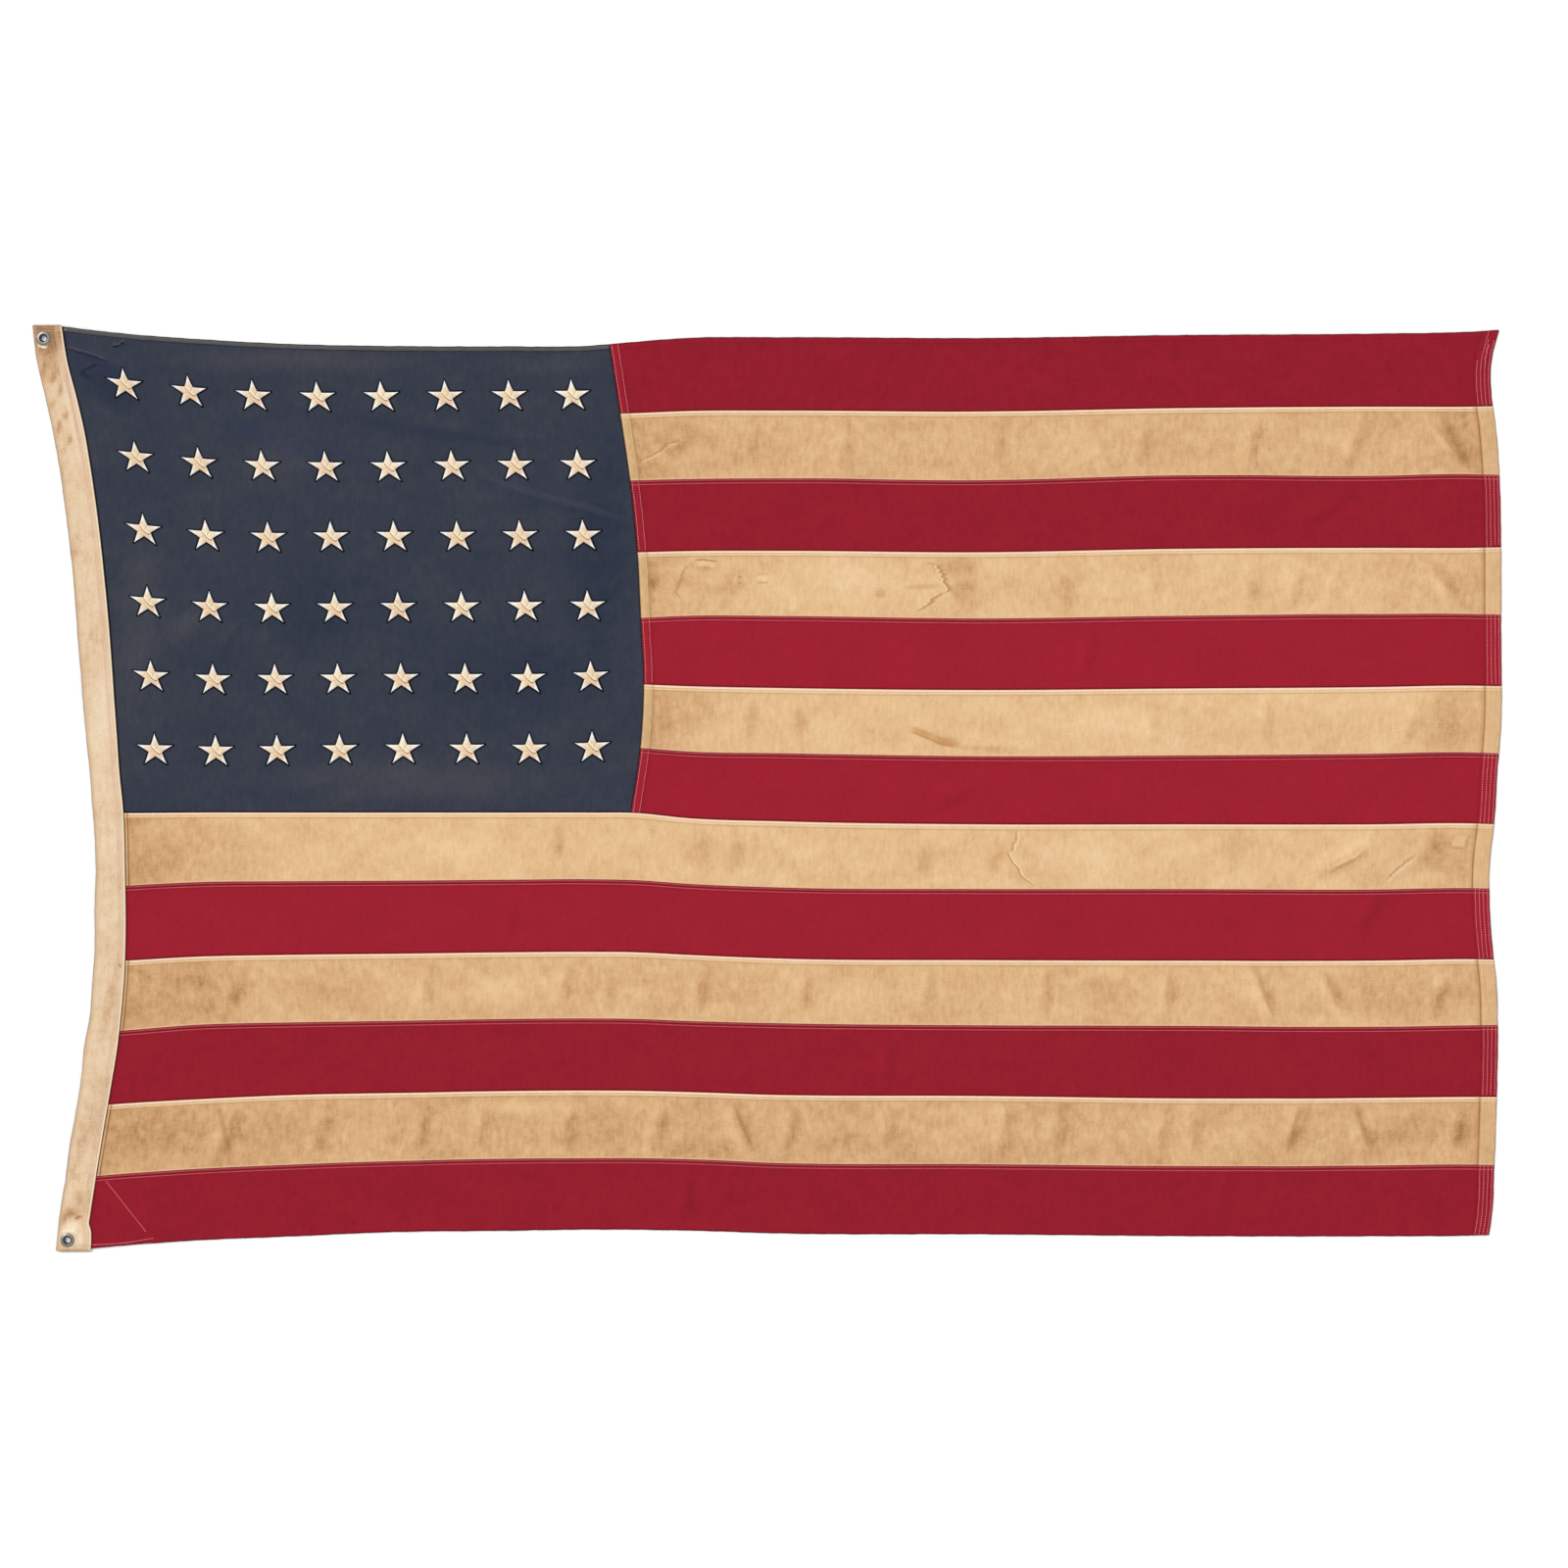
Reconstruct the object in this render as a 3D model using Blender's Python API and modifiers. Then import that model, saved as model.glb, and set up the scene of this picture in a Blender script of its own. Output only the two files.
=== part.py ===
"""Aged cotton flag, laid flat: a blue canton with 48 raised stars, 13 stripes, a canvas heading and two eyelets.

Metres. +X runs toward the fly, +Y toward the top edge, +Z up from the surface that the flag lies on. The origin
is on that surface, under the middle of the flag.
"""

import bmesh
import bpy
import numpy as np
from mathutils import Matrix, Vector
from mathutils.bvhtree import BVHTree

# Driving dimensions, in metres
PIXEL = 0.00165  # cloth shown by one pixel of the photograph, from the 51 mm heading and the 5 by 8 foot size
GAP = 0.0003  # between neighbouring pieces
CLOTH = 0.0012  # one layer of cloth
LAPPED = 0.0019  # cloth built up by a lapped seam
HEMMED = 0.0022  # cloth turned twice at the fly
CANVAS = 0.0024  # the heading, folded over the hoist edge
CANVAS_END = 0.0030  # the heading where its end is turned in
SEAM_BAND = 0.008  # width of a lapped seam
CANTON_BAND = 0.015  # width of the seam between a short stripe and the canton
FLY_HEM = 0.028  # width of the hem at the fly
STEP = 0.0015  # length over which a built-up edge falls to single cloth
END_TURN = 0.036  # length of the turned-in end of the heading
STAR_WIDE = 0.0305  # centre of a star to its points, along the stripes
STAR_TALL = 0.0273  # the same along the hoist, where the cloth has shrunk more
STAR_WAIST = 0.382  # inner corners of a star, as a share of those
STAR_EDGE = 0.0005  # rise of the stitching at a star's outline
STAR_CROWN = 0.0013  # rise of the stitching at a star's centre
STAR_ROOT = 0.0006  # depth to which the stitching goes into the cloth
EYELET_RADIUS = 0.012
EYELET_BORE = 0.0048
EYELET_THROAT = 0.0072  # where the front flange starts to turn down into the bore
BARREL_RADIUS = 0.0060
CANVAS_HOLE = 0.0064
FLANGE = 0.0012  # thickness of an eyelet's two flanges
EYELET_STEPS = 20

# The laid cloth, as it is seen in the photograph's 1600 by 1600 frame: pixel columns and rows
MIDDLE_COLUMN = 782.8
MIDDLE_ROW = 804.25
STATIONS = (60, 130, 200, 300, 400, 520, 600, 650, 700, 800, 1000, 1200, 1400, 1500, 1530)
CANTON_SEAM = 7
TOP_EDGE = (332.5, 341, 346.5, 350.5, 353, 353.8, 353.5, 350.5, 346, 345.5, 346, 343.5, 341.5, 340, 337)
SHORT_SEAMS = (
    (421.5, 419.5, 419, 420, 416.5, 415, 415, 414.5),
    (490.5, 489.3, 488.5, 490.5, 485.5, 486, 484.5, 485),
    (563.5, 562.3, 562, 563.5, 560, 559, 559, 558.5),
    (631, 628.8, 629, 631.5, 628.8, 627, 627, 627.5),
    (698, 700, 702, 704, 702.5, 701, 699.5, 700),
    (763, 767, 769, 772, 771.3, 769.5, 768, 769),
)
LONG_SEAMS = (
    (830, 829.5, 829, 829, 829, 829, 829, 829.5, 834.5, 838, 841, 841, 841, 840, 841),
    (909, 904, 900.5, 899.5, 899, 898, 897.5, 898.5, 902, 906, 907.5, 907.5, 908, 906.5, 907),
    (984, 980, 976, 974, 973, 971.5, 971, 971.5, 974, 978, 979.5, 980, 980, 978.5, 979),
    (1056, 1051.5, 1046, 1043.5, 1042, 1040, 1039.5, 1040, 1042, 1044.5, 1046.5, 1047, 1048, 1046.5, 1046),
    (1131, 1125.5, 1121.5, 1117, 1115, 1113, 1112.5, 1112.8, 1114, 1117, 1118, 1120.5, 1120, 1119, 1119),
    (1204, 1197.5, 1193, 1188.5, 1185, 1182.5, 1182, 1182, 1183, 1187, 1188, 1190, 1189.5, 1188.5, 1189),
    (1277, 1272.5, 1266.5, 1261.5, 1258, 1256, 1255.3, 1255.5, 1256.3, 1259, 1260.5, 1262, 1262, 1261.3, 1260.5),
)
CANTON_EDGE = (622, 633, 643, 650.5, 654, 657, 653.5, 644)
HEADING_ROWS = (332, 370, 405, 440, 475, 510, 545, 580, 615, 650, 685, 720, 755, 790,
                825, 860, 895, 930, 965, 1000, 1035, 1070, 1105, 1140, 1175, 1210, 1245, 1277)
HEADING_OUTER = (33.5, 38.5, 46.5, 54, 60.5, 65.5, 70, 74, 77, 79.5, 83, 85.5, 88.5, 92,
                 94.5, 97.3, 98.3, 97, 97, 94.5, 92, 86, 83, 77, 70.5, 66, 60.5, 57.3)
HEADING_SEAM = (63.5, 69.5, 78.5, 86.5, 92.5, 97.7, 102.2, 106, 109.5, 112.5, 115.2, 117.5, 120, 122.5,
                126, 127.7, 128.5, 129, 128.5, 127, 124, 120, 114.5, 108.5, 102.5, 97, 93.5, 93)
HEADING_ENDS = (332, 1276.5)
FLY_ROWS = (337, 366, 400, 435, 481, 560, 650, 740, 790, 840, 880, 930, 965, 1000, 1040, 1119, 1190, 1248, 1262)
FLY_EDGE = (1529.5, 1522, 1521.3, 1526, 1529.5, 1531.5, 1531.5, 1531.5, 1527.5, 1524.5, 1520, 1520, 1522.5,
            1526.5, 1528, 1527, 1524.5, 1521, 1518.5)
EYELETS = {"top": (45.3, 345.7), "bottom": (69.5, 1265)}
STAR_COLUMNS = (
    (128, 193.5, 259, 324.5, 389.5, 455, 520, 584),
    (139, 203.5, 268, 332.5, 396.5, 461.5, 526, 590),
    (147, 210.5, 274, 338, 402.5, 467, 531, 595.5),
    (151, 214.5, 278, 342, 406.5, 471.5, 536, 600),
    (154.5, 218, 281, 345, 409.5, 475, 539, 603),
    (158.5, 220.5, 283, 347, 411.5, 476.5, 540.5, 604.5),
)
STAR_ROWS = (
    (393, 400, 404.5, 406, 405.5, 405, 404.5, 404),
    (467, 473, 476, 477, 477, 476, 475.5, 475),
    (541, 547, 549, 548.5, 548, 548, 547.5, 547),
    (615, 620, 621.5, 621, 620.5, 620, 619.5, 619),
    (690.5, 694, 694, 693.5, 693, 693, 693, 691),
    (765.5, 767, 766.5, 765.5, 765, 765, 765, 763),
)

# Main folds: column and row of the middle, direction in degrees from +X, then half length, half width and height
FOLDS = (
    (858, 470, 86, 0.110, 0.085, 0.0035),
    (1018, 455, 92, 0.100, 0.080, 0.0030),
    (1280, 480, 75, 0.130, 0.085, 0.0035),
    (1470, 480, -62, 0.140, 0.090, 0.0045),
    (1340, 610, 80, 0.110, 0.085, 0.0035),
    (1468, 620, -65, 0.130, 0.090, 0.0045),
    (955, 615, 100, 0.090, 0.075, 0.0025),
    (1440, 745, 70, 0.110, 0.085, 0.0035),
    (1180, 745, 88, 0.100, 0.080, 0.0025),
    (1390, 885, 52, 0.150, 0.090, 0.0045),
    (1040, 880, 95, 0.100, 0.080, 0.0030),
    (750, 880, 75, 0.090, 0.080, 0.0025),
    (1290, 1020, -70, 0.120, 0.085, 0.0040),
    (1170, 1015, 88, 0.110, 0.080, 0.0030),
    (1440, 1010, 60, 0.120, 0.090, 0.0040),
    (430, 1150, 82, 0.120, 0.085, 0.0035),
    (780, 1150, -80, 0.120, 0.085, 0.0040),
    (1030, 1155, 85, 0.110, 0.085, 0.0030),
    (1330, 1155, 62, 0.140, 0.090, 0.0045),
    (240, 1010, 60, 0.120, 0.090, 0.0035),
    (210, 875, 70, 0.100, 0.085, 0.0030),
    (150, 1225, 48, 0.110, 0.085, 0.0035),
    (120, 385, -28, 0.130, 0.090, 0.0030),
    (560, 515, -20, 0.180, 0.120, 0.0025),
    (240, 650, 42, 0.170, 0.120, 0.0025),
    (85, 700, 88, 0.110, 0.070, 0.0030),
    (110, 905, 85, 0.120, 0.080, 0.0035),
    (82, 1120, 70, 0.120, 0.075, 0.0035),
)
EYELET_LIFT = FLANGE + GAP  # the canvas round an eyelet lies on the eyelet's back flange
LIFT_FULL = 0.042  # radius within which the canvas is at that height
LIFT_NONE = 0.110  # radius at which it is down on the surface again

# Columns of points along the flag: hoist to canton edge, then canton edge to fly
CANTON_COLUMNS = 11
STRIPE_COLUMNS = 17
HEADING_COLUMNS = 3
CROSSING_TRIES = 20  # steps that bring a level and a side edge to one point


def smooth(places, values, at):
    """The soft curve through the values at the places, read at one place or at many."""
    places = np.asarray(places, float)
    values = np.asarray(values, float)
    at = np.asarray(at, float)
    slopes = np.gradient(values, places)
    i = np.clip(np.searchsorted(places, at) - 1, 0, len(places) - 2)
    width = places[i + 1] - places[i]
    t = (at - places[i]) / width
    ends = values[i] * (1 + 2 * t) * (1 - t) ** 2 + values[i + 1] * t * t * (3 - 2 * t)
    return ends + width * t * (1 - t) * (slopes[i] * (1 - t) - slopes[i + 1] * t)


def place(column, row):
    """Metres of a pixel of the photograph."""
    return np.stack([(column - MIDDLE_COLUMN) * PIXEL, (MIDDLE_ROW - row) * PIXEL], axis=-1)


def seam_row(seam, column):
    """Row of seam 0 (the top edge) to 13 (the bottom edge) at a column. On the canton, seams 1 to 6 are only levels."""
    if seam == 0:
        return smooth(STATIONS, TOP_EDGE, column)
    if seam >= CANTON_SEAM:
        return smooth(STATIONS, LONG_SEAMS[seam - CANTON_SEAM], column)
    known = STATIONS[-len(SHORT_SEAMS[0]):]
    return smooth(known, SHORT_SEAMS[seam - 1], column)


def canton_level(seam, column):
    """Row at which level 0 to 7 of the canton crosses a column: each keeps its share of the canton's height."""
    edge = CANTON_EDGE[seam]
    top, here, bottom = (seam_row(k, edge) for k in (0, seam, CANTON_SEAM))
    share = (here - top) / (bottom - top)
    return seam_row(0, column) * (1 - share) + seam_row(CANTON_SEAM, column) * share


def crossing(level, rows, columns):
    """Column at which a level meets a side edge of the cloth."""
    column = columns[0]
    for _ in range(CROSSING_TRIES):
        column = float(smooth(rows, columns, level(column)))
    return column


def level_points(seam):
    """Points along one seam, from the hoist to the canton edge and from there to the fly, in metres."""
    lower = seam >= CANTON_SEAM
    edge = CANTON_EDGE[min(seam, CANTON_SEAM)]
    on_canton = (lambda c: seam_row(seam, c)) if lower else (lambda c: canton_level(seam, c))
    hoist = crossing(on_canton, HEADING_ROWS, HEADING_SEAM)
    fly = crossing(lambda c: seam_row(seam, c), FLY_ROWS, FLY_EDGE)
    inner = np.linspace(hoist, edge, CANTON_COLUMNS + 1)
    body = np.linspace(edge + CANTON_BAND / PIXEL, fly - FLY_HEM / PIXEL, STRIPE_COLUMNS + 1)
    bands = [edge, body[0] - STEP / PIXEL]
    outer = np.concatenate([bands, body, [body[-1] + STEP / PIXEL, fly]])
    return place(inner, on_canton(inner)), place(outer, seam_row(seam, outer))


LEVELS = [level_points(seam) for seam in range(CANTON_SEAM + len(LONG_SEAMS))]


def soft_bump(distance):
    """1 at the middle, 0 from a distance of 1 outward."""
    return np.clip(1 - distance ** 2, 0, 1) ** 2


def fold_height(x, y):
    """Height of the cloth's underside above the surface."""
    height = np.zeros(np.shape(x))
    for column, row, turn, half_length, half_width, rise in FOLDS:
        middle = place(column, row)
        angle = np.radians(turn)
        along = (x - middle[0]) * np.cos(angle) + (y - middle[1]) * np.sin(angle)
        across = (y - middle[1]) * np.cos(angle) - (x - middle[0]) * np.sin(angle)
        height = np.maximum(height, rise * soft_bump(np.hypot(along / half_length, across / half_width)))
    for spot in EYELETS.values():
        middle = place(*spot)
        distance = np.hypot(x - middle[0], y - middle[1])
        fade = np.clip((LIFT_NONE - distance) / (LIFT_NONE - LIFT_FULL), 0, 1)
        lift = EYELET_LIFT * fade * fade * (3 - 2 * fade)
        flat = distance < LIFT_FULL
        height = np.where(flat, EYELET_LIFT, np.maximum(height * (1 - fade), lift))
    return height


def paint(name, colour, roughness, metallic=0.0):
    """A Principled material."""
    material = bpy.data.materials.new(name)
    material.use_nodes = True
    shader = material.node_tree.nodes["Principled BSDF"]
    shader.inputs["Base Color"].default_value = (*colour, 1.0)
    shader.inputs["Roughness"].default_value = roughness
    shader.inputs["Metallic"].default_value = metallic
    return material


def add_object(name, mesh, collection, material=None):
    """An object of this mesh, in its collection."""
    thing = bpy.data.objects.new(name, mesh)
    if material:
        mesh.materials.append(material)
    collection.objects.link(thing)
    return thing


def cloth(name, points, thickness, material):
    """A laid sheet: a grid of points on its underside, thickened upward by Solidify as far as each point needs."""
    rows, columns = thickness.shape
    grid = bmesh.new()
    bmesh.ops.create_grid(grid, x_segments=columns - 1, y_segments=rows - 1, size=1)
    spots = np.array([v.co[:2] for v in grid.verts])
    column = np.rint((spots[:, 0] + 1) / 2 * (columns - 1)).astype(int)
    row = np.rint((1 - spots[:, 1]) / 2 * (rows - 1)).astype(int)
    heights = fold_height(points[..., 0], points[..., 1])
    for vertex, r, c in zip(grid.verts, row, column):
        vertex.co = (*points[r, c], heights[r, c])
    mesh = bpy.data.meshes.new(name)
    grid.to_mesh(mesh)
    grid.free()
    mesh.shade_smooth()
    thing = add_object(name, mesh, PARTS, material)
    most = float(thickness.max())
    group = thing.vertex_groups.new(name="build_up")
    for i, (r, c) in enumerate(zip(row, column)):
        group.add([i], thickness[r, c] / most, "REPLACE")
    solid = thing.modifiers.new("thickness", "SOLIDIFY")
    solid.thickness = most
    solid.offset = 1
    solid.vertex_group = group.name
    return thing


def stripe(name, seam, long, material):
    """One stripe, between its seam and the next, with its seam band, its hem at the fly and its gaps."""
    upper, lower = LEVELS[seam], LEVELS[seam + 1]
    if long:
        top = np.concatenate([upper[0][:-1], upper[1]])
        bottom = np.concatenate([lower[0][:-1], lower[1]])
    else:
        top = upper[1]
        bottom = lower[1]
    top = top - [0, GAP / 2]
    bottom = bottom + [0, GAP / 2]
    for side in (top, bottom):
        side[0, 0] += GAP / 2
    width = np.linalg.norm(top - bottom, axis=1).mean()
    drops = [0, SEAM_BAND, SEAM_BAND + STEP, width / 2]
    lowest = seam == len(LEVELS) - 2
    if lowest:
        drops += [width - SEAM_BAND - STEP, width - SEAM_BAND]
    share = np.array([*drops, width]) / width
    points = top + share[:, None, None] * (bottom - top)
    thickness = np.full(points.shape[:2], CLOTH)
    thickness[:2] = LAPPED
    if lowest:
        thickness[-2:] = LAPPED
    if not long:
        thickness[:, :2] = LAPPED
    thickness[:, -2:] = HEMMED
    return cloth(name, points, thickness, material)


def star(bm, centre, across, up, surface):
    """One raised star, its outline laid out along the weave and its foot inside the cloth under it."""
    outline = []
    for i in range(10):
        angle = np.radians(90 + 36 * i)
        reach = 1 if i % 2 == 0 else STAR_WAIST
        outline.append(centre + reach * (STAR_WIDE * np.cos(angle) * across + STAR_TALL * np.sin(angle) * up))
    lower, upper = [], []
    for spot in outline:
        height = surface(spot)
        lower.append(bm.verts.new((*spot, height - STAR_ROOT)))
        upper.append(bm.verts.new((*spot, height + STAR_EDGE)))
    foot = bm.verts.new((*centre, surface(centre) - STAR_ROOT))
    crown = bm.verts.new((*centre, surface(centre) + STAR_CROWN))
    for i in range(10):
        j = (i + 1) % 10
        bm.faces.new((upper[i], upper[j], crown))
        bm.faces.new((lower[j], lower[i], foot))
        bm.faces.new((lower[i], lower[j], upper[j], upper[i]))


def add_stars(canton):
    """The 48 embroidered stars, joined to the canton."""
    bpy.context.view_layer.update()
    tree = BVHTree.FromObject(canton, bpy.context.evaluated_depsgraph_get())

    def surface(spot):
        return tree.ray_cast(Vector((*spot, 1.0)), Vector((0, 0, -1)))[0].z

    centres = place(np.array(STAR_COLUMNS), np.array(STAR_ROWS))
    along = np.gradient(centres, axis=1)
    rising = -np.gradient(centres, axis=0)
    bm = bmesh.new()
    for row in range(centres.shape[0]):
        for column in range(centres.shape[1]):
            across = along[row, column] / np.linalg.norm(along[row, column])
            up = rising[row, column] / np.linalg.norm(rising[row, column])
            star(bm, centres[row, column], across, up, surface)
    mesh = bpy.data.meshes.new("stars")
    bm.to_mesh(mesh)
    bm.free()
    stars = add_object("stars", mesh, CUTTERS)
    stars.hide_render = True
    stars.display_type = "WIRE"
    join = canton.modifiers.new("embroidery", "BOOLEAN")
    join.operation = "UNION"
    join.object = stars


def make_canton(material):
    """The blue panel, on the levels of the short stripes, with a hem along its top edge."""
    rows = []
    for seam in range(CANTON_SEAM):
        top, bottom = LEVELS[seam][0], LEVELS[seam + 1][0]
        band = SEAM_BAND / np.linalg.norm(top - bottom, axis=1).mean()
        shares = (0, band, band + STEP / SEAM_BAND * band, 0.5) if seam == 0 else (0, 0.5)
        rows += [top + share * (bottom - top) for share in shares]
    rows.append(LEVELS[CANTON_SEAM][0] + [0, GAP / 2])
    points = np.array(rows)
    points[:, 0, 0] += GAP / 2
    points[:, -1, 0] -= GAP / 2
    thickness = np.full(points.shape[:2], CLOTH)
    thickness[:2] = LAPPED
    canton = cloth("canton", points, thickness, material)
    add_stars(canton)


def make_heading(material):
    """The canvas strip along the hoist, turned in at both ends, with a hole for each eyelet."""
    seam = [LEVELS[k][0][0] for k in range(len(LEVELS))]
    inner = []
    for upper, lower in zip(seam, seam[1:]):
        inner += [upper, (upper + lower) / 2]
    inner.append(seam[-1])
    end_columns = smooth(HEADING_ROWS, HEADING_SEAM, HEADING_ENDS)
    ends = place(end_columns, np.array(HEADING_ENDS))
    turned = ((seam[0], seam[1], END_TURN), (seam[-1], seam[-2], END_TURN))
    steps = []
    for start, onward, length in turned:
        direction = (onward - start) / np.linalg.norm(onward - start)
        steps += [start + direction * (length - STEP), start + direction * length]
    inner = [ends[0], inner[0], steps[0], steps[1], *inner[1:-1], steps[3], steps[2], inner[-1], ends[1]]
    inner = np.array(inner)
    rows = MIDDLE_ROW - inner[:, 1] / PIXEL
    outer = place(smooth(HEADING_ROWS, HEADING_OUTER, rows), rows)
    inner = inner - [GAP / 2, 0]
    share = np.linspace(0, 1, HEADING_COLUMNS + 1)[None, :, None]
    points = outer[:, None] + share * (inner - outer)[:, None]
    thickness = np.full(points.shape[:2], CANVAS)
    thickness[:3] = CANVAS_END
    thickness[-3:] = CANVAS_END
    heading = cloth("heading", points, thickness, material)
    for end, spot in EYELETS.items():
        bpy.ops.mesh.primitive_cylinder_add(
            vertices=EYELET_STEPS, radius=CANVAS_HOLE, depth=0.03, location=(*place(*spot), 0)
        )
        punch = bpy.context.object
        punch.name = f"punch_{end}"
        for home in punch.users_collection:
            home.objects.unlink(punch)
        CUTTERS.objects.link(punch)
        punch.hide_render = True
        punch.display_type = "WIRE"
        cut = heading.modifiers.new(punch.name, "BOOLEAN")
        cut.operation = "DIFFERENCE"
        cut.object = punch


def make_eyelet(name, spot, material):
    """A turned eyelet: a back flange on the surface, a barrel through the canvas and a front flange over it."""
    back = FLANGE
    front = EYELET_LIFT + CANVAS_END + GAP
    top = front + FLANGE
    edge = 0.0005
    throat = (EYELET_THROAT + EYELET_BORE) / 2
    profile = (
        (EYELET_THROAT, top),
        (EYELET_RADIUS - edge, top),
        (EYELET_RADIUS, top - edge),
        (EYELET_RADIUS, front),
        (BARREL_RADIUS, front),
        (BARREL_RADIUS, back),
        (EYELET_RADIUS, back),
        (EYELET_RADIUS, edge),
        (EYELET_RADIUS - edge, 0),
        (BARREL_RADIUS - edge, 0),
        (EYELET_BORE, 2 * edge),
        (EYELET_BORE, top - 4 * edge),
        (throat, top - 1.2 * edge),
    )
    bm = bmesh.new()
    ring = [bm.verts.new((radius, 0, height)) for radius, height in profile]
    for first, second in zip(ring, ring[1:] + ring[:1]):
        bm.edges.new((first, second))
    mesh = bpy.data.meshes.new(name)
    bm.to_mesh(mesh)
    bm.free()
    thing = add_object(name, mesh, PARTS, material)
    thing.matrix_world = Matrix.Translation((*place(*spot), 0))
    turn = thing.modifiers.new("turn", "SCREW")
    turn.steps = EYELET_STEPS
    turn.render_steps = EYELET_STEPS
    turn.use_merge_vertices = True
    turn.merge_threshold = 0.00005


for old in list(bpy.data.objects):
    bpy.data.objects.remove(old)
PARTS = bpy.data.collections.new("aged_cotton_flag")
CUTTERS = bpy.data.collections.new("cutters")
bpy.context.scene.collection.children.link(PARTS)
bpy.context.scene.collection.children.link(CUTTERS)

make_canton(paint("navy cotton", (0.030, 0.040, 0.063), 0.9))
for seam in range(len(LEVELS) - 1):
    colour = "red" if seam % 2 == 0 else "tan"
    shade = (0.300, 0.013, 0.027) if colour == "red" else (0.670, 0.440, 0.215)
    long = seam >= CANTON_SEAM
    length = "long" if long else "short"
    stripe(f"{length}_{colour}_{seam + 1:02d}", seam, long, paint(f"{colour} cotton {seam + 1}", shade, 0.9))
make_heading(paint("aged canvas", (0.730, 0.510, 0.280), 0.9))
for end, spot in EYELETS.items():
    make_eyelet(f"eyelet_{end}", spot, paint(f"grey metal {end}", (0.240, 0.240, 0.240), 0.45, 0.9))
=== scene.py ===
# %% [markdown]
# # An old sewn cotton flag, laid flat
#
# The real thing is a flag of five by eight feet: a blue canton with 48 embroidered stars, 13 sewn stripes, a canvas
# heading along the hoist and two metal eyelets. It is worn, yellowed and stained, and it lies flat, face up.
#
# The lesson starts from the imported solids. Each one gives the true place and size of a piece, and each piece of cloth
# is then made again, finer, on the same folds, and given its stitching, its weave and its stains.

import bpy
import numpy as np
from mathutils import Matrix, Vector
from mathutils.bvhtree import BVHTree
from mathutils.kdtree import KDTree


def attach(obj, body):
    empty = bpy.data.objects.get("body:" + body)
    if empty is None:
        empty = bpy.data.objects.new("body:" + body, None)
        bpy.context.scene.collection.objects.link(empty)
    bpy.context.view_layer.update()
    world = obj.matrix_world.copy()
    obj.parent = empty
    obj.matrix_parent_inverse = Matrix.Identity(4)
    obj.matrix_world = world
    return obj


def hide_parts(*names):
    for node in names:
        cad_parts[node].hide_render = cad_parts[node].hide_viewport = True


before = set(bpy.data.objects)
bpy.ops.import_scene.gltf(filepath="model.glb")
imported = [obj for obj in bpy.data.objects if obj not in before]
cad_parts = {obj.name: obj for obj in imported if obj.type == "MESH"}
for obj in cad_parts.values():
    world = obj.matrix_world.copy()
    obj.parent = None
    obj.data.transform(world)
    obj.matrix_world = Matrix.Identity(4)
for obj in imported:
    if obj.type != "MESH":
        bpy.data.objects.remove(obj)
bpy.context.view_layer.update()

# %% [markdown]
# ## Real sizes
#
# Cloth is sewn with allowances that a maker could name, so the driving sizes are those: a lapped seam of 8 mm between
# stripes, a hem of 28 mm at the fly, a heading of two-inch canvas. Everything below is worked out from them. One pixel
# of the photograph shows 1.65 mm of cloth, which ties the places read from it to metres.

# %% Driving sizes, in metres
MM = 0.001
PIXEL = 1.65 * MM
GAP = 0.3 * MM  # between neighbouring pieces
CLOTH = 1.2 * MM
LAPPED = 1.9 * MM  # cloth built up by a lapped seam
HEMMED = 2.2 * MM  # cloth turned twice at the fly
CANVAS = 2.4 * MM
CANVAS_END = 3.0 * MM
SEAM_BAND = 8 * MM
CANTON_BAND = 15 * MM
FLY_HEM = 28 * MM
END_TURN = 36 * MM
STAR_WIDE = 30.5 * MM  # radius of a star along its row
STAR_TALL = 27.3 * MM  # and up its column
STAR_WAIST = 0.382  # inner corners of a star, as a share of its radius
EYELET_BORE = 4.8 * MM
EYELET_THROAT = 7.2 * MM
CANVAS_HOLE = 6.4 * MM
FLANGE = 1.2 * MM
CLOTH_PITCH = 7 * MM  # between the points of a sheet, away from its seams
CANTON_PITCH = 6.5 * MM
HEADING_PITCH = 4 * MM

# %% [markdown]
# ## Where the seams run
#
# A laid flag is never square: its seams wander, and its hoist edge bows. Each seam is read as a row of the picture at
# a few columns, and each side edge as a column at a few rows. A soft curve through those points gives the seam, which
# needs far fewer numbers than an outline traced point by point, and stays smooth at any fineness.

# %% Seams and edges, in the picture's 1600 by 1600 pixels
MIDDLE_COLUMN = 782.8
MIDDLE_ROW = 804.25
STATIONS = (60, 130, 200, 300, 400, 520, 600, 650, 700, 800, 1000, 1200, 1400, 1500, 1530)
CANTON_SEAM = 7
BOTTOM_SEAM = 13
TOP_EDGE = (332.9, 340.8, 346, 351.3, 353.2, 353.6, 353, 348.7, 345, 344.2, 345, 342, 340.5, 338.5, 336.8)
SHORT_SEAMS = (
    (421.5, 419.5, 419, 420, 416.5, 415, 415, 414.5),
    (490.5, 489.3, 488.5, 490.5, 485.5, 486, 484.5, 485),
    (563.5, 562.3, 562, 563.5, 560, 559, 559, 558.5),
    (631, 628.8, 629, 631.5, 628.8, 627, 627, 627.5),
    (698, 700, 702, 704, 702.5, 701, 699.5, 700),
    (763, 767, 769, 772, 771.3, 769.5, 768, 769),
)
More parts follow.
